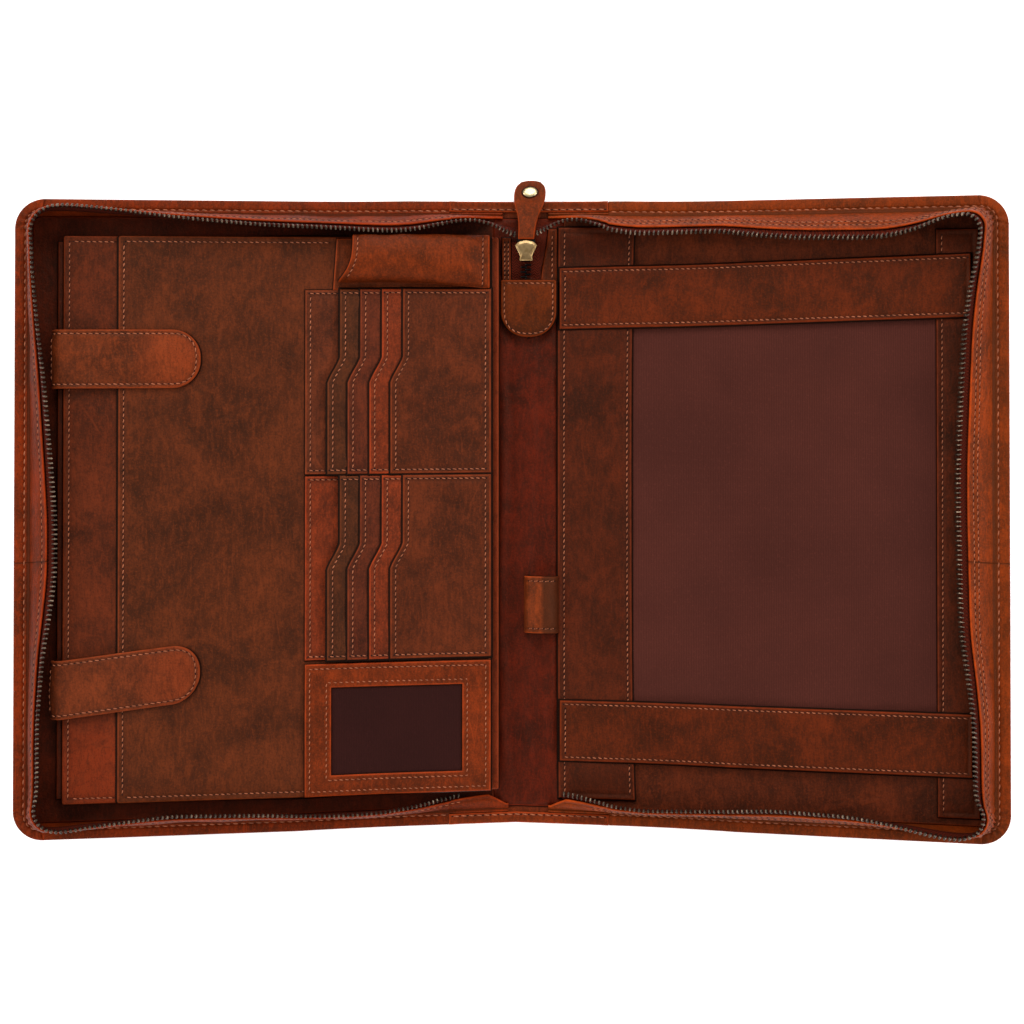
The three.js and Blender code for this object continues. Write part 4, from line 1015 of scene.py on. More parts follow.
def gusset_rings(stops, sign):
    """The gusset's closed section at each station, and the marks for its leather."""
    start, end, up, face = section_frame(stops)
    foot, inward, rim = stops["foot"], stops["inward"], stops["rim"]
    count = len(foot)
    fold_top, fold_bottom = END_FOLD[sign]
    fold = np.where(foot[:, 1] > 0, fold_top, fold_bottom)
    starts = np.where(foot[:, 1] > 0, stops["out"][0], stops["out"][-1])
    fade = np.clip((stops["out"] - starts) / (fold - starts), LEAST_LEATHER, 1)
    top = start + (end - start) * (LEATHER_SHARE * fade)[:, None]
    run = np.cumsum(np.concatenate([[0], np.linalg.norm(np.diff(stops["line"], axis=0), axis=1)]))
    corner = smoothed((stops["side"] == 1).astype(float), 8)
    pucker = np.sin(2 * math.pi * run / PUCKER_LENGTH + ripple(run, 0 * run, 30, 3) * 2)
    pucker = pucker * (0.14 + 1.9 * corner) * np.clip(fade * 1.2 - 0.2, 0, 1)
    wander = ripple(run, 0 * run, 38, 8 if sign < 0 else 12)

    def flat(share, height):
        """A point between the foot line, share 0, and the rim, share 1."""
        place = foot + (rim - foot) * share
        return np.column_stack([place, np.full(count, 0.0) + height])

    middle = (FOOT_LOW + FOOT_TOP) / 2
    half = GUSSET / 2
    ring, edge_mark, seam_mark, shade_mark = [], [], [], []
    # Painted shade: the right flange is painted a little darker than its wall, and a dark line is
    # painted at the fold where the upper and lower halves meet
    flange_shade = 0.0 if sign < 0 else 0.25
    lap = 0.9 * np.exp(-np.abs(foot[:, 1] - GUSSET_SEAM) / 0.5) * (stops["side"] == 2)

    def put(point, rim_level=0.0, seam_level=0.0, shade=0.0):
        ring.append(point)
        edge_mark.append(np.full(count, rim_level))
        seam_mark.append(np.full(count, seam_level))
        shade_mark.append(np.maximum(lap, shade))

    # The rolled outer rim is lighter: rubbed edge, plus a painted highlight
    put(flat(0.97, FOOT_LOW), 0.3)
    put(flat(1.0, middle - 0.2), 1.0)
    put(flat(1.0, middle + 0.1), 1.0)
    put(flat(0.985, FOOT_TOP - 0.15), 0.75)
    row_share = FLANGE_SHARES[FLANGE_ROW[sign]]
    for share in FLANGE_SHARES:
        seam_level = math.exp(-(((share - row_share) / 0.055) ** 2))
        rise = 0.5 * math.sin(math.pi * share) ** 0.6 - 0.55 * seam_level
        lift = rise + (0.45 * pucker + 0.12 * wander) * (1 - abs(share - 0.45))
        # Painted shade in the crease where the flange meets the wall
        put(flat(share, FOOT_TOP + lift), 0, seam_level, 0.8 if share < 0.15 else flange_shade)
    outer_foot = np.column_stack([foot, np.full(count, FOOT_TOP)])
    outer_top = top + face * (TAPE / 2 + TAPE_ROOM + GUSSET)
    for share in (0.06, 0.14, 0.24, 0.36, 0.48, 0.6, 0.7, 0.78, 0.84, 0.89, 0.94, 0.98):
        bulge = (1.1 + 0.5 * wander) * math.sin(math.pi * share) + 0.55 * pucker * (1 - share)
        row = math.exp(-(((share - 0.84) / 0.05) ** 2))
        swell = (bulge - 0.35 * row) * fade
        place = outer_foot + (outer_top - outer_foot) * share + face * swell[:, None]
        # Painted shade in the crease at the wall's foot
        crease = 0.9 if share < 0.1 else 0.0
        put(place, 0.35 if share > 0.95 else 0, row, crease)
    pivot = top + face * (TAPE / 2 + TAPE_ROOM + half)
    # The fold over the tape and the wall's top edge are lighter: rubbed leather, plus a painted
    # highlight
    for turn in np.linspace(0.15, 0.85, 5) * math.pi:
        put(pivot + face * half * math.cos(turn) + up * half * 1.2 * math.sin(turn), 0.6)
    inner_top = top + face * (TAPE / 2 + TAPE_ROOM)
    inner_foot = np.column_stack([foot + inward * GUSSET, np.full(count, FOOT_TOP)])
    for share in (0.02, 0.25, 0.5, 0.75, 1.0):
        bulge = (0.9 + 0.5 * wander) * math.sin(math.pi * share) * fade
        place = inner_top + (inner_foot - inner_top) * share + face * bulge[:, None] * 0.6
        # Painted shade on the inner face
        put(place, 0, 0, INSIDE_PAINTED_SHADE)
    put(np.column_stack([foot + inward * GUSSET, np.full(count, FOOT_LOW)]))
    put(flat(0.0, FOOT_LOW))
    rings = np.stack(ring, axis=1)
    marks = {"rim": edge_mark, "seam": seam_mark, "shade": shade_mark}
    return draped(rings), {key: np.stack(mark, axis=1) for key, mark in marks.items()}


BEFORE_FLANGE = 4
WALL_STITCH_ROW = BEFORE_FLANGE + len(FLANGE_SHARES) + 8
INNER_STITCH_ROW = -6


def build_gusset(sign, side, leather_from, leather_to):
    stops = stops_round(sign, leather_from, leather_to)
    rings, marks = gusset_rings(stops, sign)
    v = stops["foot"][:, 1]
    for part, keep in (("upper", v > GUSSET_SEAM - 0.01), ("lower", v < GUSSET_SEAM + 0.01)):
        chosen = {key: mark[keep] for key, mark in marks.items()}
        node = f"gusset_{side}_{part}"
        sweep(node + "_leather", rings[keep], LEATHERS["gusset_" + side], [node], chosen)
    group = "stitches_gusset_" + side
    out = unit(rings[:, WALL_STITCH_ROW] - rings[:, INNER_STITCH_ROW])
    row = BEFORE_FLANGE + FLANGE_ROW[sign]
    on_flange = unit(np.cross(
        np.gradient(rings[:, row], axis=0), rings[:, row + 1] - rings[:, row - 1]
    ))
    on_flange = on_flange * np.sign(on_flange[:, 2:3])
    seam = SEAM_LEFT if sign < 0 else SEAM_RIGHT
    keep = (stops["side"] > 0) | (stops["out"] > seam)
    stitch(rings[keep, row], on_flange[keep], 4.2, group, thread=0.4, fill=0.72)
    keep = (stops["side"] > 0) | (stops["out"] > seam * 0.8)
    rows = (WALL_STITCH_ROW,) if sign < 0 else (WALL_STITCH_ROW, WALL_STITCH_ROW - 2)
    for row in rows:
        stitch(rings[keep, row], out[keep], 3.4, group, thread=0.28)
    stitch(rings[keep, INNER_STITCH_ROW], -out[keep], 3.4, group, thread=0.28)


def tooth_template():
    """Points of one zip tooth: x along the chain, y through it, z away from the tape."""
    sections = (
        (-1.7, 0.3, 0.8), (-1.3, 0.42, 1.0), (0.1, 0.44, 1.0), (0.5, 0.56, 0.95),
        (1.2, 0.56, 0.9), (1.6, 0.36, 0.65),
    )
    corners = (
        (1, 0.55), (0.55, 1), (-0.55, 1), (-1, 0.55),
        (-1, -0.55), (-0.55, -1), (0.55, -1), (1, -0.55),
    )
    points = [(x * p, y * q, z) for z, x, y in sections for p, q in corners]
    return np.array(points), tube_faces(len(sections), len(corners))


def place_teeth(name, centres, along, through, away, nodes, material):
    template, faces = tooth_template()
    points = centres[:, None, :] + MM * (
        template[None, :, 0:1] * along[:, None, :]
        + template[None, :, 1:2] * through[:, None, :]
        + template[None, :, 2:3] * away[:, None, :]
    )
    every = copies(faces, len(centres), len(template))
    make_object(name, points.reshape(-1, 3), every, material, nodes, None, False)


def build_zip(sign, side, zip_from, zip_to):
    stops = stops_round(sign, zip_from, zip_to, 1.0)
    start, end, up, face = section_frame(stops)
    low = start + (end - start) * TAPE_START
    high = end - up * (TEETH_WIDE / 2 - 0.6)
    ring = []
    half = TAPE * 0.36
    for share in (0, 0.35, 0.7, 0.92, 1.0):
        ring.append(low + (high - low) * share + face * half)
    for share in (1.0, 0.92, 0.7, 0.35, 0):
        ring.append(low + (high - low) * share - face * half)
    rings = draped(np.stack(ring, axis=1))
    sweep(f"zip_tape_{side}_weave", rings, TAPE_WEAVE, [f"zip_tape_{side}"])
    line = draped(end)
    above = draped(end + up * 0.5) - line
    run = np.concatenate([[0], np.cumsum(np.linalg.norm(np.diff(line, axis=0), axis=1))])
    at = np.arange(0.6 * MM, run[-1], TOOTH_PITCH * MM)
    pick = lambda values: np.stack([np.interp(at, run, values[:, k]) for k in range(3)], axis=-1)
    centres, away = pick(line), unit(pick(above))
    along = unit(pick(np.gradient(line, axis=0)))
    through = unit(np.cross(away, along))
    along = unit(np.cross(through, away))
    place_teeth(
        f"zip_teeth_{side}_row", centres, along, through, away, [f"zip_teeth_{side}"],
        TEETH_METAL,
    )


# The slider, its pull tab and the zip's tail

SLIDER_U = 5.4
SLIDER_TOP = HALF_HEIGHT - 19.5
SLIDER_WIDE = 10.6
SLIDER_LONG = 14.6
SLIDER_LOW = 8.6
SLIDER_TALL = 3.9
PLATE_TOP = SLIDER_TOP - 3.2
PLATE_LONG = 11.5
PLATE_WIDE = 11.9
PLATE_WAIST = 8.1
PLATE_TALL = 2.4
COVER_TOP = HALF_HEIGHT - 44.0
COVER_LEFT, COVER_RIGHT = -8.2, 21.8
COVER_LONG = 31.2
COVER_THICK = 2.2
TAB_LEAN = 0.085
TAB_LONG = 33.4
TAB_NECK = 9.2
TAB_THICK = 2.2
TAB_FAR_LOW = 5.4
RIVET_FROM_TIP = 6.9
TAIL_LEFT, TAIL_RIGHT = -7.0, 13.0
TAIL_UNDER_SLIDER = 11.5
EDGING_THICK = 0.9
STRIP_LEFT, STRIP_RIGHT = 13.9, 22.4
STRIP_NARROWS = 3.7
STRIP_TOP = HALF_HEIGHT - 15.5


def bevelled(name, outline, low, tall, material, nodes, bevel=0.5, crown=0.0, place=None):
    """A plate with the given outline, bevelled on both sides and crowned on top."""
    outline = np.array(outline, float)
    middle = outline.mean(axis=0)
    place = place or (lambda u, v, w: (u, v, w))

    def shrink(amount):
        reach = np.linalg.norm(outline - middle, axis=1, keepdims=True)
        return middle + (outline - middle) * (1 - amount / reach)

    levels = [
        (shrink(bevel), low), (shrink(0.15 * bevel), low + 0.4 * bevel),
        (outline, low + bevel), (outline, low + tall - bevel),
        (shrink(0.3 * bevel), low + tall - 0.35 * bevel), (shrink(bevel), low + tall),
        (shrink(bevel * 3), low + tall + crown * 0.8), (shrink(bevel * 5), low + tall + crown),
    ]
    rings = np.stack([
        drape(*place(ring[:, 0], ring[:, 1], np.full(len(ring), float(height))))
        for ring, height in levels
    ])
    return sweep(name, rings, material, nodes, None, False)


def dense(outline, step):
    """The outline with points added along its sides."""
    points = []
    for i, start in enumerate(outline):
        start, end = np.array(start, float), np.array(outline[(i + 1) % len(outline)], float)
        count = max(int(np.hypot(*(end - start)) / step), 1)
        points += [start + (end - start) * k / count for k in range(count)]
    return np.array(points)


def softened(outline, passes=3, step=0.5):
    """The outline made dense, with its corners rounded off."""
    points = dense(outline, step)
    for _ in range(passes):
        points = (np.roll(points, 1, axis=0) + 2 * points + np.roll(points, -1, axis=0)) / 4
    return points


def build_slider():
    wide, top = SLIDER_WIDE / 2, SLIDER_TOP
    body = softened([
        (SLIDER_U - wide, top - 2), (SLIDER_U - wide * 0.75, top - GAP),
        (SLIDER_U - wide * 0.25, top - GAP - 0.6), (SLIDER_U + wide * 0.25, top - GAP - 0.6),
        (SLIDER_U + wide * 0.75, top - GAP), (SLIDER_U + wide, top - 2),
        (SLIDER_U + wide * 0.62, top - SLIDER_LONG * 0.6),
        (SLIDER_U + wide * 0.58, top - SLIDER_LONG), (SLIDER_U - wide * 0.58, top - SLIDER_LONG),
        (SLIDER_U - wide * 0.62, top - SLIDER_LONG * 0.6),
    ])
    bevelled(
        "slider_body_metal", body, SLIDER_LOW, SLIDER_TALL, SLIDER_METAL, ["slider_body"],
        0.5, 0.1,
    )
    down = lambda share: PLATE_TOP - PLATE_LONG * share
    side = lambda sign: [
        (SLIDER_U + sign * PLATE_WIDE * 0.36, down(0.1)),
        (SLIDER_U + sign * PLATE_WIDE / 2, down(0.24)),
        (SLIDER_U + sign * PLATE_WIDE * 0.47, down(0.36)),
        (SLIDER_U + sign * PLATE_WAIST * 0.48, down(0.66)),
        (SLIDER_U + sign * PLATE_WAIST * 0.42, down(0.78)),
        (SLIDER_U + sign * PLATE_WAIST * 0.46, down(1)),
    ]
    plate = softened([(SLIDER_U, PLATE_TOP), *side(1), *side(-1)[::-1]], 2, 0.35)
    low = SLIDER_LOW + SLIDER_TALL + GAP
    bevelled(
        "slider_plate_brass", plate, low, PLATE_TALL - 0.3, PLATE_BRASS, ["slider_plate"],
        0.55, 0.35,
    )
    around = np.linspace(0, 2 * math.pi, 10, endpoint=False)
    wire = 0.75
    ring = []
    for turn in np.linspace(-0.1 * math.pi, 1.1 * math.pi, 22):
        u = SLIDER_U + 0.2 + 4.1 * math.cos(turn)
        v = PLATE_TOP - 0.9 + 3.4 * math.sin(turn)
        ring.append(drape(
            u + wire * np.cos(around) * math.cos(turn),
            v + wire * np.cos(around) * math.sin(turn),
            low + 1.0 + wire * np.sin(around),
        ))
    loop = sweep("slider_loop", np.stack(ring), SLIDER_METAL, [])


def build_pull_tab():
    near_low = SLIDER_LOW + SLIDER_TALL + GAP + 0.8
    start_v = PLATE_TOP + GAP
    long, neck = TAB_LONG, TAB_NECK
    tilt = (TAB_FAR_LOW - near_low) / long
    place = lambda u, v, w: (u + TAB_LEAN * (v - start_v), v, w + tilt * (v - start_v))
    table = np.array([
        (0.0, 0.96), (0.1, 0.98), (0.25, 1.06), (0.4, 1.25), (0.52, 1.55), (0.62, 1.8),
        (0.72, 1.88), (0.8, 1.88), (0.88, 1.76), (0.94, 1.5), (0.975, 1.15), (1.0, 0.0),
    ])
    fine = np.linspace(0, 1, 90)
    half = np.interp(fine, table[:, 0], table[:, 1]) * neck / 2
    tip = neck * 0.66 * np.sqrt(np.maximum(1 - fine, 0) / 0.035)
    half = np.maximum(np.where(fine > 0.965, tip, smoothed(half, 2.0)), 0.5)
    left = lambda b: SLIDER_U - np.interp((b - start_v) / long, fine, half)
    right = lambda b: SLIDER_U + np.interp((b - start_v) / long, fine, half)
    eye_v = start_v + long - RIVET_FROM_TIP

    def relief(a, b):
        far = np.hypot((a - SLIDER_U) / 4.6, (b - eye_v) / 3.6)
        return 0.25 * np.exp(-((far - 1.25) ** 2) / 0.05) + 0.15 * ripple(a, b, 12, 31)

    cut(
        "pull_tab", "tab",
        left, right, start_v, start_v + long, near_low, TAB_THICK, place=place, relief=relief,
        step=0.9, round_edge=0.8, skirt=0,
        breaks=tuple(start_v + long - x for x in (0.3, 0.6, 1, 1.5, 2.2)),
    )
    turns = np.linspace(0, 2 * math.pi, 40, endpoint=False)
    almond = lambda reach_u, reach_v: np.column_stack([
        SLIDER_U + reach_u * np.sign(np.cos(turns)) * np.abs(np.cos(turns)) ** 1.25,
        eye_v + reach_v * np.sign(np.sin(turns)) * np.abs(np.sin(turns)) ** 0.95,
    ])
    top = near_low + TAB_THICK
    bevelled(
        "pull_rivet_brass", almond(3.9, 2.9), top + 0.25, 0.9, RIVET_BRASS, ["pull_rivet"],
        0.3, 0.35, place,
    )
    rim = []
    for share, height in ((1.22, -0.1), (1.18, 0.32), (1.08, 0.42), (1.0, 0.3), (0.98, -0.1)):
        outline = almond(4.0 * share, 3.05 * share)
        rim.append(drape(*place(outline[:, 0], outline[:, 1], np.full(len(outline), top + height))))
    stations, count = len(rim), len(turns)
    faces = [
        (i * count + k, i * count + (k + 1) % count,
         (i + 1) % stations * count + (k + 1) % count, (i + 1) % stations * count + k)
        for i in range(stations) for k in range(count)
    ]
    make_object("rivet_lip", np.concatenate(rim), faces, LEATHERS["under"], [])


def build_tail():
    top = SLIDER_TOP - SLIDER_LONG - GAP
    bottom = COVER_TOP - 14
    bend_v = COVER_TOP + 2
    rise = SLIDER_LOW - CLOTH_LOW - TAPE - GAP

    def slope(u, v, w):
        return u, v, w + rise * np.clip((v - bend_v) / (top - bend_v), 0, 1)

    tape_top = top + TAIL_UNDER_SLIDER
    tape = Leaf(
        TAIL_LEFT, TAIL_RIGHT, bottom, tape_top, CLOTH_LOW, TAPE, place=slope, step=1.0,
        round_edge=0.4, skirt=0,
    )
    tape.build("zip_tail_tape_weave", TAPE_WEAVE, ["zip_tail_tape"])
    edging = Leaf(
        TAIL_LEFT - 0.4, TAIL_LEFT + 4, bottom, tape_top + 2, CLOTH_LOW + TAPE, EDGING_THICK,
        place=slope, step=1.0, relief=lambda a, b: 0.15 * ripple(a, b, 8, 44),
    )
    edging.build("zip_tail_edging", LEATHERS["strip"])
    for u in (-6.2, -4.2):
        sew(edging, [(u, COVER_TOP), (u, tape_top)], "stitches_tail", 2.6, thread=0.24)
    strip_left = lambda b: (
        STRIP_LEFT + STRIP_NARROWS * smoothstep((b - COVER_TOP) / (STRIP_TOP - COVER_TOP))
    )
    strip = cut(
        "zip_tail_strip", "strip",
        strip_left, STRIP_RIGHT, bottom, STRIP_TOP, CLOTH_LOW, BAND, step=1.0, seams=(2.6,),
        relief=lambda a, b: 0.2 * ripple(a, b, 9, 41),
    )
    row_u = STRIP_RIGHT - 2.6
    sew(strip, [(row_u, COVER_TOP), (row_u, STRIP_TOP - 2)], "stitches_tail", 3.0)
    centres, along, through, away = [], [], [], []
    chain_low = CLOTH_LOW + TAPE + GAP
    for k, v in enumerate(np.arange(COVER_TOP - 3, top - 0.5, TOOTH_PITCH / 2)):
        sign = 1 if k % 2 else -1
        u, _, w = slope(SLIDER_U + sign * 1.2, v, chain_low + 1.0)
        centres.append(drape(u, v, w))
        along.append((0, 1, 0))
        through.append((0, 0, 1))
        away.append((-sign, 0, 0))
    place_teeth(
        "zip_tail_teeth", *(np.array(x, float) for x in (centres, along, through, away)),
        ["zip_tail_chain"], SLIDER_METAL,
    )
    left, right, cover_end = COVER_LEFT, COVER_RIGHT, COVER_TOP - COVER_LONG
    cover_low = chain_low + 2.0 + GAP
    radius = (right - left) / 2 - 1

    def puff(a, b):
        ridge = np.exp(-(((a - 5.4) / 6) ** 2))
        return 0.5 * smoothstep((COVER_TOP - b) / 18) * ridge + 0.25 * ripple(a, b, 14, 43)

    cover = cut(
        "zip_end_cover", "end_cover",
        left, right, cover_end, COVER_TOP, cover_low, COVER_THICK,
        corners=(radius, radius, 1, 1), relief=puff, seams=(1.8,), step=1.2, round_edge=0.9,
        skirt=1.0,
    )
    inset = 1.8
    arc = round_path([
        (left + inset, COVER_TOP - inset, 0),
        (left + inset, cover_end + inset, radius - inset),
        (right - inset, cover_end + inset, radius - inset),
        (right - inset, COVER_TOP - inset, 0),
    ], 12)
    sew(cover, [*arc, arc[0]], "stitches_tail")


# The organiser panel


def build_organiser():
    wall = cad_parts["document_pocket_wall"]
    wall.data.materials.clear()
    wall.data.materials.append(LEATHERS["under"])
    cut(
        "organiser_under", "under",
        PANEL_LEFT - UNDER_PEEK, PANEL_RIGHT - UNDER_PEEK,
        PANEL_BOTTOM + UNDER_PEEK, PANEL_TOP - UNDER_PEEK, UNDER_LOW, LINING, step=8.0,
    )

    def ends(a, b):
        """The lower end and the strip by the spine are redder."""
        return np.maximum(smoothstep((-b - 95) / 30), 0.8 * smoothstep((a + 20) / 8))

    back = cut(
        "organiser_back", "organiser_back",
        PANEL_LEFT, PANEL_RIGHT, PANEL_BOTTOM, PANEL_TOP, BACK_LOW, PANEL, corners=(1, 1, 1, 1),
        relief=lambda a, b: 0.22 * ripple(a, b, 30, 51), seams=(3.0,), step=4.2, warmth=ends,
    )
    group = "stitches_panel"
    sew(back, [(PANEL_LEFT + 3, PANEL_BOTTOM + 2), (PANEL_LEFT + 3, PANEL_TOP - 2)], group)
    for v in (PANEL_BOTTOM + 3, PANEL_TOP - 3):
        sew(back, [(PANEL_LEFT + 4, v), (SLIP_LEFT - 1, v)], group)
    slip = Leaf(
        SLIP_LEFT, SLIP_RIGHT, PANEL_BOTTOM, PANEL_TOP, SLIP_LOW, LINING, corners=(1, 1, 1, 1),
        relief=lambda a, b: 0.3 * ripple(a, b, 48, 52), seams=(3.0,), step=3.6, skirt=1.2,
    )
    slip.build("slip_pocket_leather", LEATHERS["slip_front"], ["slip_pocket_front"])
    sew(slip, [(SLIP_LEFT + 2.6, PANEL_BOTTOM + 4), (SLIP_LEFT + 2.6, PANEL_TOP - 4)], group)
    sew(slip, [(SLIP_LEFT + 3, PANEL_BOTTOM + 3), (SLIP_RIGHT - 2, PANEL_BOTTOM + 3)], group)
    sew(slip, [(SLIP_LEFT + 3, PANEL_TOP - 3), (SLIP_RIGHT - 88, PANEL_TOP - 3)], group)


STRAP_UPPER_DROP = 87.0
STRAP_LOWER_RISE = 81.3
STRAP_LOWER_TURN = 0.115


def build_strap(name, middle_v, turn_share, seed):
    """A strap that turns round the panel's edge and lies on the panel."""
    long, wide, foot, tip, room = 72.7, 31.4, 12.0, 15.0, 1.4
    low_line = LINING_TOP + GAP + STRAP / 2
    high_line = DOC_STRAP_LOW + STRAP / 2
    radius = (high_line - low_line) / 2
    arc = math.pi * radius
    bend_u = PANEL_LEFT - UNDER_PEEK + radius - STRAP / 2 - room
    total = foot + arc + long

    def place(s, v, w):
        off = w - STRAP / 2
        turn = np.clip((s - foot) / radius, 0, math.pi)
        before = np.minimum(s - foot, 0)
        after = np.maximum(s - foot - arc, 0)
        u = bend_u - before - (radius + off) * np.sin(turn) + after
        return u, v + turn_share * after, low_line + radius - (radius + off) * np.cos(turn)

    def puff(a, b):
        after = a - foot - arc
        across = np.cos((b - middle_v) / wide * math.pi)
        tip_puff = 0.9 * np.exp(-(((after - 56) / 16) ** 2)) * np.maximum(across, 0)
        body = 0.35 * np.maximum(across, 0) * smoothstep((a - foot) / 10)
        return tip_puff + body + 0.3 * ripple(a, b, 16, seed) * smoothstep((a - foot) / 8)

    # Painted highlight: the strap is paler and redder towards its puffed tip
    strap = cut(
        name, name,
        0, total, middle_v - wide / 2, middle_v + wide / 2, 0, STRAP, corners=(0, tip, tip, 0),
        place=place, relief=puff, seams=(2.2,), step=1.3, round_edge=0.9, skirt=0.9,
        warmth=lambda a, b: 0.4 * smoothstep((a - total + 40) / 30),
    )
    inset = 2.2
    start = foot + arc * 0.62
    low, high, end = middle_v - wide / 2 + inset, middle_v + wide / 2 - inset, total - inset
    path = round_path([
        (start, low, 0), (end, low, tip - inset), (end, high, tip - inset), (start, high, 0),
    ], 10)
    sew(strap, path, "stitches_straps", 3.3)
    sew(strap, [(start, low + 1), (start, high - 1)], "stitches_straps", 3.3)


BLOCK_RIGHT = SLIP_RIGHT + GAP
BLOCK_LEFT = BLOCK_RIGHT - 102.0
BLOCK_DEEP = 99.5
BLOCK_TOP = HALF_HEIGHT - 50.0
BLOCK_GAP = 1.4
LEAF_STARTS = (19.5, 30.8, 43.0, 54.8)
LEAF_STEP = 7.0
STEP_FROM = 36.5
STEP_DEEP = 14.0
LEAF_TAIL = 20.0
LEAF_RISE = 2.4
END_INSET = 1.8


def build_cards(block, top_v):
    bottom = top_v - BLOCK_DEEP
    group = "stitches_cards"
    base = cut(
        f"card_base_{block}", f"card_base_{block}",
        BLOCK_LEFT, BLOCK_RIGHT, bottom, top_v, BLOCK_LOW, SLOT, seams=(2.8,), step=2.4,
        relief=lambda a, b: 0.25 * ripple(a, b, 20, 60 + block),
    )
    inset = 2.8
    sew(base, [(BLOCK_LEFT + inset, top_v - 2), (BLOCK_LEFT + inset, bottom + 2)], group)
    for v, back in ((top_v - END_INSET, 0), (bottom + END_INSET, LEAF_STEP)):
        sew(base, [(BLOCK_LEFT + 1, v), (BLOCK_LEFT + LEAF_STARTS[0] - back - 0.5, v)], group)
    for i, pitch in enumerate(LEAF_STARTS):
        start = BLOCK_LEFT + pitch
        last = i == len(LEAF_STARTS) - 1
        end = BLOCK_RIGHT if last else start + LEAF_TAIL
        rest = start + LEAF_TAIL
        drop = top_v - STEP_FROM

        def left(b, start=start, drop=drop):
            down = np.clip((drop - b) / STEP_DEEP, 0, 1)
            return start - LEAF_STEP * (0.35 * smoothstep(down) + 0.65 * down)

        def place(u, v, w, rest=rest):
            middle = np.sin(math.pi * np.clip((top_v - v) / BLOCK_DEEP, 0, 1))
            rise = LEAF_RISE * (0.55 + 0.45 * middle)
            return u, v, w + rise / LEAF_TAIL * np.maximum(rest - u, 0)

        leaf = cut(
            f"card_slot_{block}_{i + 1}", f"card_{i + 1}",
            left, end, bottom, top_v, LEAF_LOW, SLOT, place=place, seams=(2.8,), skirt=1.3,
            step=1.7 if not last else 2.2, breaks=(drop, drop - STEP_DEEP, drop - STEP_DEEP / 2),
            relief=lambda a, b, i=i: 0.22 * ripple(a, b, 22, 70 + 5 * block + i),
        )
        b = np.linspace(top_v - 1.5, bottom + 1.5, 60)
        sew(leaf, np.column_stack([left(b) + inset, b]), group)
        stop = BLOCK_RIGHT - 1 if last else BLOCK_LEFT + LEAF_STARTS[i + 1] - 0.5
        for v, back in ((top_v - END_INSET, 0), (bottom + END_INSET, LEAF_STEP)):
            sew(leaf, [(start + 0.6 - back, v), (stop - (0 if last else back), v)], group)
        if last:
            far = BLOCK_RIGHT - inset
            sew(leaf, [(far, top_v - 4), (far, bottom + 4)], group)


WINDOW_DEEP = 71.8
WINDOW_DROP = 0.9
CLOTH_TUCK = 3.0


def build_window(top_v):
    bottom = top_v - WINDOW_DEEP
    hole = (BLOCK_LEFT + 14.5, BLOCK_RIGHT - 15.2, bottom + 11.2, top_v - 12.8)
    tuck = CLOTH_TUCK
    cloth = Leaf(
        BLOCK_LEFT + tuck, BLOCK_RIGHT - tuck, bottom + tuck, top_v - tuck, BLOCK_LOW, CLOTH,
        relief=lambda a, b: 0.1 * ripple(a, b, 30, 81), step=4.0, round_edge=0.3, skirt=0,
    )
    sheet = cloth.build("window_cloth_piece", WINDOW_CLOTH, ["window_cloth"])
    window = cut(
        "window_frame", "window",
        BLOCK_LEFT, BLOCK_RIGHT, bottom, top_v, BLOCK_LOW + CLOTH + GAP, SLOT, hole=hole,
        seams=(2.6,), step=2.0, relief=lambda a, b: 0.25 * ripple(a, b, 22, 82),
    )
    left, right, low, high = hole
    inset = 2.6
    for left, right, low, high in (
        (left - inset, right + inset, low - inset, high + inset),
        (BLOCK_LEFT + inset, BLOCK_RIGHT - inset, bottom + inset, top_v - inset),
    ):
        loop = [(left, low), (right, low), (right, high), (left, high), (left, low)]
        sew(window, loop, "stitches_cards")


def arch_place(low, middle, half, tall, length):
    """Bends a strip over an arch: b runs over the arch from one foot to the other.

    middle, half and tall are functions of a.
    """

    def place(a, b, w):
        turn = math.pi * (1 - np.clip(b / length, 0, 1))
        reach, rise = half(a), tall(a)
        lift = np.sqrt(np.maximum(np.sin(turn), 1e-6))
        v, height = middle(a) + reach * np.cos(turn), low + rise * lift
        tilt_v = -reach * np.sin(turn)
        tilt_w = rise * 0.5 * np.cos(turn) / np.maximum(lift, 0.12)
        size = np.hypot(tilt_v, tilt_w) + 1e-9
        return a, v + w * tilt_w / size, height - w * tilt_v / size

    return place


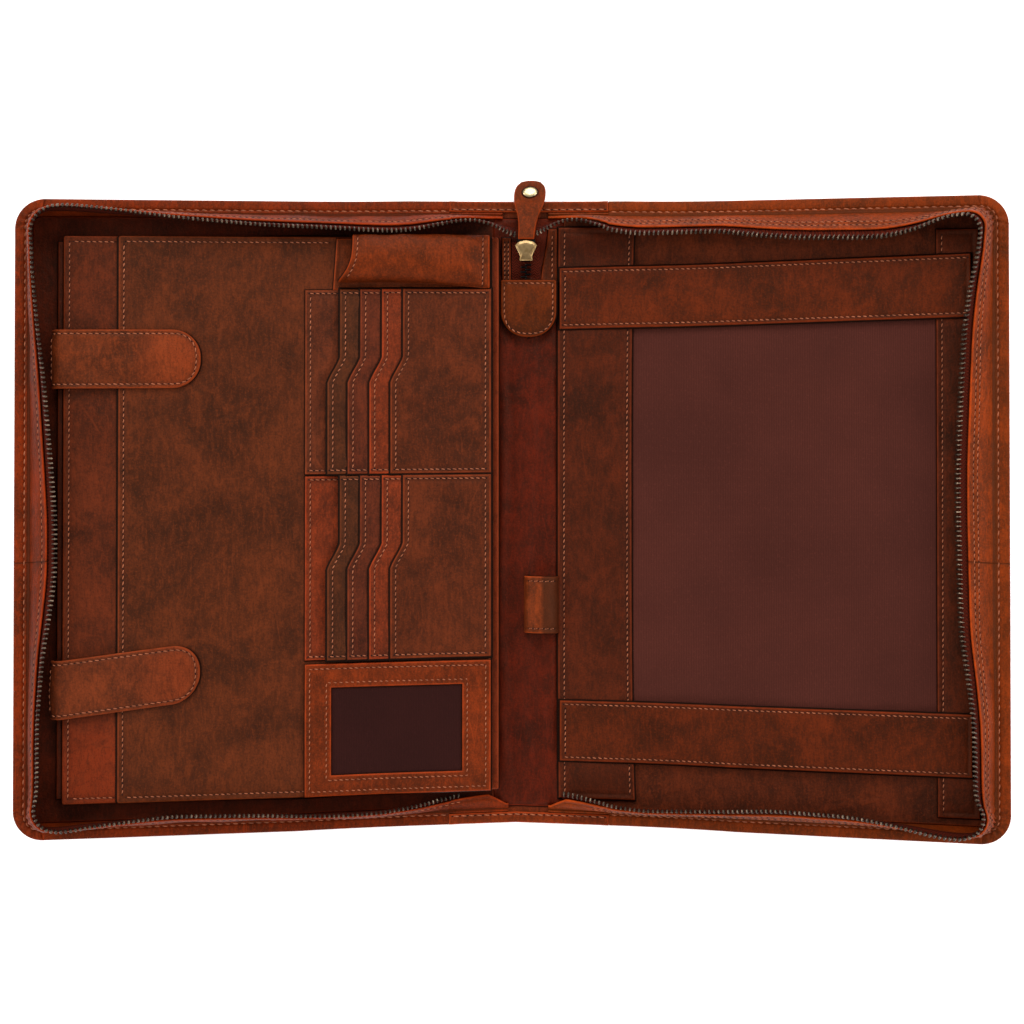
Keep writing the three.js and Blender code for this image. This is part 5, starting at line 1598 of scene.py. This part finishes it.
def build_pouch(top_v):
    end_u = SLIP_RIGHT - GAP
    flap_long, flap_deep = 86.0, 25.5
    flap_low = top_v - flap_deep - 3.2
    cut(
        "pouch_flap", "flap",
        lambda b: end_u - flap_long + 2 * (b - flap_low) / (flap_deep + 2.2), end_u,
        flap_low, top_v - 1, BLOCK_LOW, SLOT, step=1.8, seams=(2.4,),
        relief=lambda a, b: 0.3 * ripple(a, b, 16, 91),
    )
    low = BLOCK_LOW + SLOT + GAP
    long, deep, tall, wall, lip, flare = 76.0, 24.5, 12.5, 1.4, 8.0, 3.2
    table = np.array([
        (0, 1, 0), (0.3, 1, 0), (0.6, 0.9, 0.25), (0.85, 0.6, 0.7), (0.95, 0.3, 1), (1, 0.16, 1),
    ])
    share = lambda a: np.clip((a - (end_u - long)) / long, 0, 1)
    height = lambda a: (tall - wall) * np.interp(share(a), table[:, 0], table[:, 1])
    flared = lambda a: flare * np.interp(share(a), table[:, 0], table[:, 2])
    length = 52.0
    half = lambda a: (deep + flared(a)) / 2 - wall / 2
    middle = lambda a: top_v - (deep + flared(a)) / 2
    arch = arch_place(low, middle, half, height, length)

    def place(a, b, w):
        down = np.clip(b / length, 0, 1)
        above = (1 - np.cos(math.pi * down)) / 2
        mouth = end_u - long + 1.0 - lip * (1 - above) ** 3.5
        u = mouth + (end_u - mouth) * (a - (end_u - long)) / long
        _, v, high = arch(a, b, w)
        return u, v, high

    def creases(a, b):
        near_end = smoothstep((share(a) - 0.55) / 0.4)
        return 0.25 * ripple(a, b, 18, 92) + near_end * 0.5 * np.sin(b / 3.4 + a / 7)

    pouch = cut(
        "pen_pouch", "pouch",
        end_u - long, end_u, 0, length, 0, wall, place=place, relief=creases, seams=(3.0,),
        step=1.3, round_edge=0.7,
    )
    sew(pouch, [(end_u - long + 3, 8), (end_u - long + 3, length - 8)], "stitches_pouch")
    sew(pouch, [(end_u - 3.6, 4), (end_u - 3.6, length - 4)], "stitches_pouch")


def build_pen_loop():
    wide, tall, long, wall = 17.8, 10.0, 31.4, 1.2
    foot_v = 106.3 - HALF_HEIGHT
    right_u = 23.0 - GAP
    length = 34.0
    middle = lambda a: np.full(np.shape(a), right_u - wide / 2)
    half = lambda a: np.full(np.shape(a), wide / 2 - wall / 2)
    height = lambda a: np.full(np.shape(a), tall - wall)
    arch = arch_place(CLOTH_LOW, middle, half, height, length)

    def place(a, b, w):
        _, u, high = arch(a, b, w)
        return u, a, high

    def ridge(a, b):
        return 0.8 * np.exp(-(((b / length - 0.4) / 0.07) ** 2)) + 0.2 * ripple(a, b, 12, 95)

    # Painted shade: the loop's right side, away from the light, is painted darker
    loop = cut(
        "pen_loop", "loop",
        foot_v, foot_v + long, 0, length, 0, wall, place=place, seams=(2.6,), step=1.1,
        relief=ridge, round_edge=0.6, skirt=0.3,
        shade=lambda a, b: 0.85 * smoothstep((b / length - 0.46) / 0.1),
    )
    for a in (foot_v + 2.6, foot_v + long - 2.6):
        sew(loop, [(a, 6), (a, length - 6)], "stitches_pouch")


# The pad holder

BAND_LEFT = 23.0
BAND_WIDE = 40.0
BAND_RIGHT = RIGHT_WIDTH - 37.5
PAD_TOP = HALF_HEIGHT - 37.5
PAD_BOTTOM = 35.9 - HALF_HEIGHT
PAD_DEEP = 33.0


def build_pad_holder():
    group = "stitches_pad"
    inner, outer = BAND_LEFT + BAND_WIDE, BAND_RIGHT
    low, high = PAD_BOTTOM + PAD_DEEP / 2, PAD_TOP - PAD_DEEP / 2
    slack = lambda a, b: 0.35 * ripple(a, b, 60, 101) + 0.12 * ripple(a, b, 14, 102)
    cloth = Leaf(
        inner - CLOTH_TUCK, outer + CLOTH_TUCK, low, high, CLOTH_LOW, CLOTH, relief=slack,
        step=4.0, round_edge=0.3, skirt=0,
    )
    sheet = cloth.build("pad_cloth_piece", PANEL_CLOTH, ["cloth_panel"])

    def bowed(base, swing):
        """An edge that swings out a little at both ends."""
        return lambda b: base + swing * (np.abs(b) / HALF_HEIGHT) ** 3

    far = BASE_V - 7
    left = cut(
        "band_left", "band",
        bowed(BAND_LEFT, 0.6), bowed(inner, 2.2), -far, far, BAND_LOW, BAND,
        seams=(2.8,), step=2.6, relief=lambda a, b: 0.3 * ripple(a, b, 40, 103), skirt=1.0,
    )
    b = np.linspace(-far + 2, far - 2, 50)
    sew(left, np.column_stack([left.left(b) + 3.2, b]), group)
    sew(left, np.column_stack([left.right(b) - 2.4, b]), group)
    bottom, top = 5.8 - BASE_V, BASE_V - 10.3
    right = cut(
        "band_right", "band",
        outer, RIGHT_WIDTH - 16, bottom, top, BAND_LOW, BAND, seams=(2.8,), step=2.6,
        relief=lambda a, b: 0.3 * ripple(a, b, 30, 104),
    )
    sew(right, [(outer + 2.8, bottom + 2), (outer + 2.8, top - 2)], group)
    for name, low_v, turn, seed in (
        ("pad_strap_top", PAD_TOP - PAD_DEEP, 0.026, 105), ("pad_strap_bottom", PAD_BOTTOM, 0, 106),
    ):
        place = lambda u, v, w, turn=turn: (u, v + turn * (u - 24), w)
        strap = cut(
            name, "pad_strap",
            24, RIGHT_WIDTH - 20, low_v, low_v + PAD_DEEP, PAD_STRAP_LOW, BAND, place=place,
            seams=(1.9,), step=2.4, relief=lambda a, b, seed=seed: 0.3 * ripple(a, b, 34, seed),
            skirt=1.0,
        )
        for v in (low_v + 1.9, low_v + PAD_DEEP - 1.9):
            sew(strap, [(25, v), (RIGHT_WIDTH - 21, v)], group, 3.05)
        sew(strap, [(26.8, low_v + 3), (26.8, low_v + PAD_DEEP - 3)], group, 3.05)


# The floor, the lights and the camera

CAMERA_PLACE = (-2.2 * MM, 0.8 * MM, 1.0)
CAMERA_LENS = 63.8


def build_stage():
    graph = Graph("pale_floor")
    haze = graph.noise(graph.place, 3, 2)
    graph.link(
        graph.mix(graph.ramp(haze, [(0.3, 0), (0.7, 1)]), (0.93, 0.93, 0.93), (0.95, 0.95, 0.95)),
        graph.shader.inputs["Base Color"],
    )
    graph.shader.inputs["Roughness"].default_value = 0.8
    graph.shader.inputs["Emission Color"].default_value = (1, 1, 1, 1)
    graph.shader.inputs["Emission Strength"].default_value = 0.3
    graph.shader.inputs["Specular IOR Level"].default_value = 0.1
    size, low = 4.0, -0.0004
    mesh = bpy.data.meshes.new("floor")
    mesh.from_pydata(
        [(-size, -size, low), (size, -size, low), (size, size, low), (-size, size, low)],
        [], [(0, 1, 2, 3)],
    )
    mesh.materials.append(graph.material)
    floor = bpy.data.objects.new("floor", mesh)
    bpy.context.scene.collection.objects.link(floor)


def build_lights():
    world = bpy.data.worlds.new("studio")
    world.use_nodes = True
    world.node_tree.nodes["Background"].inputs["Color"].default_value = (1, 1, 1, 1)
    world.node_tree.nodes["Background"].inputs["Strength"].default_value = 0.42
    bpy.context.scene.world = world
    lamps = (
        ("light_back", (0.1, 1.5, 1.25), 30.0), ("light_front", (0.0, -1.6, 1.2), 15.0),
        ("light_left", (-1.6, 0.2, 1.2), 22.0), ("light_right", (1.6, 0.1, 1.2), 20.0),
    )
    for name, place, power in lamps:
        data = bpy.data.lights.new(name, "AREA")
        data.shape = "RECTANGLE"
        data.size, data.size_y = 1.3, 0.9
        data.energy = power
        lamp = bpy.data.objects.new(name, data)
        lamp.location = place
        towards = -np.array(place)
        towards = towards / np.linalg.norm(towards)
        flat = math.hypot(towards[0], towards[1])
        lamp.rotation_euler = (
            math.atan2(flat, -towards[2]), 0, math.atan2(-towards[0], towards[1])
        )
        bpy.context.scene.collection.objects.link(lamp)


def build_camera():
    data = bpy.data.cameras.new("camera")
    data.lens = CAMERA_LENS
    data.sensor_width = 36.0
    data.clip_start = 0.05
    camera = bpy.data.objects.new("camera", data)
    camera.location = CAMERA_PLACE
    bpy.context.scene.collection.objects.link(camera)
    bpy.context.scene.camera = camera


bpy.context.scene.view_settings.view_transform = "Standard"
build_camera()
build_stage()
build_lights()
build_shell()
build_gusset(-1, "left", 7, 4)
build_gusset(1, "right", 17, 17)
SLIDER_EDGE = SLIDER_WIDE / 2 + 0.5
build_zip(-1, "left", SLIDER_EDGE - SLIDER_U, 31)
build_zip(1, "right", SLIDER_EDGE + SLIDER_U, 25)
build_slider()
build_pull_tab()
build_tail()
build_organiser()
build_strap("strap_upper", HALF_HEIGHT - STRAP_UPPER_DROP, 0, 55)
build_strap("strap_lower", STRAP_LOWER_RISE - HALF_HEIGHT, STRAP_LOWER_TURN, 56)
build_cards(1, BLOCK_TOP)
build_cards(2, BLOCK_TOP - BLOCK_DEEP - BLOCK_GAP)
build_window(BLOCK_TOP - 2 * (BLOCK_DEEP + BLOCK_GAP) - WINDOW_DROP)
build_pouch(PANEL_TOP)
build_pen_loop()
build_pad_holder()
for group in sorted(THREADS):
    build_threads(group, THREAD)
build_holes(HOLE_PAINTED_SHADE)
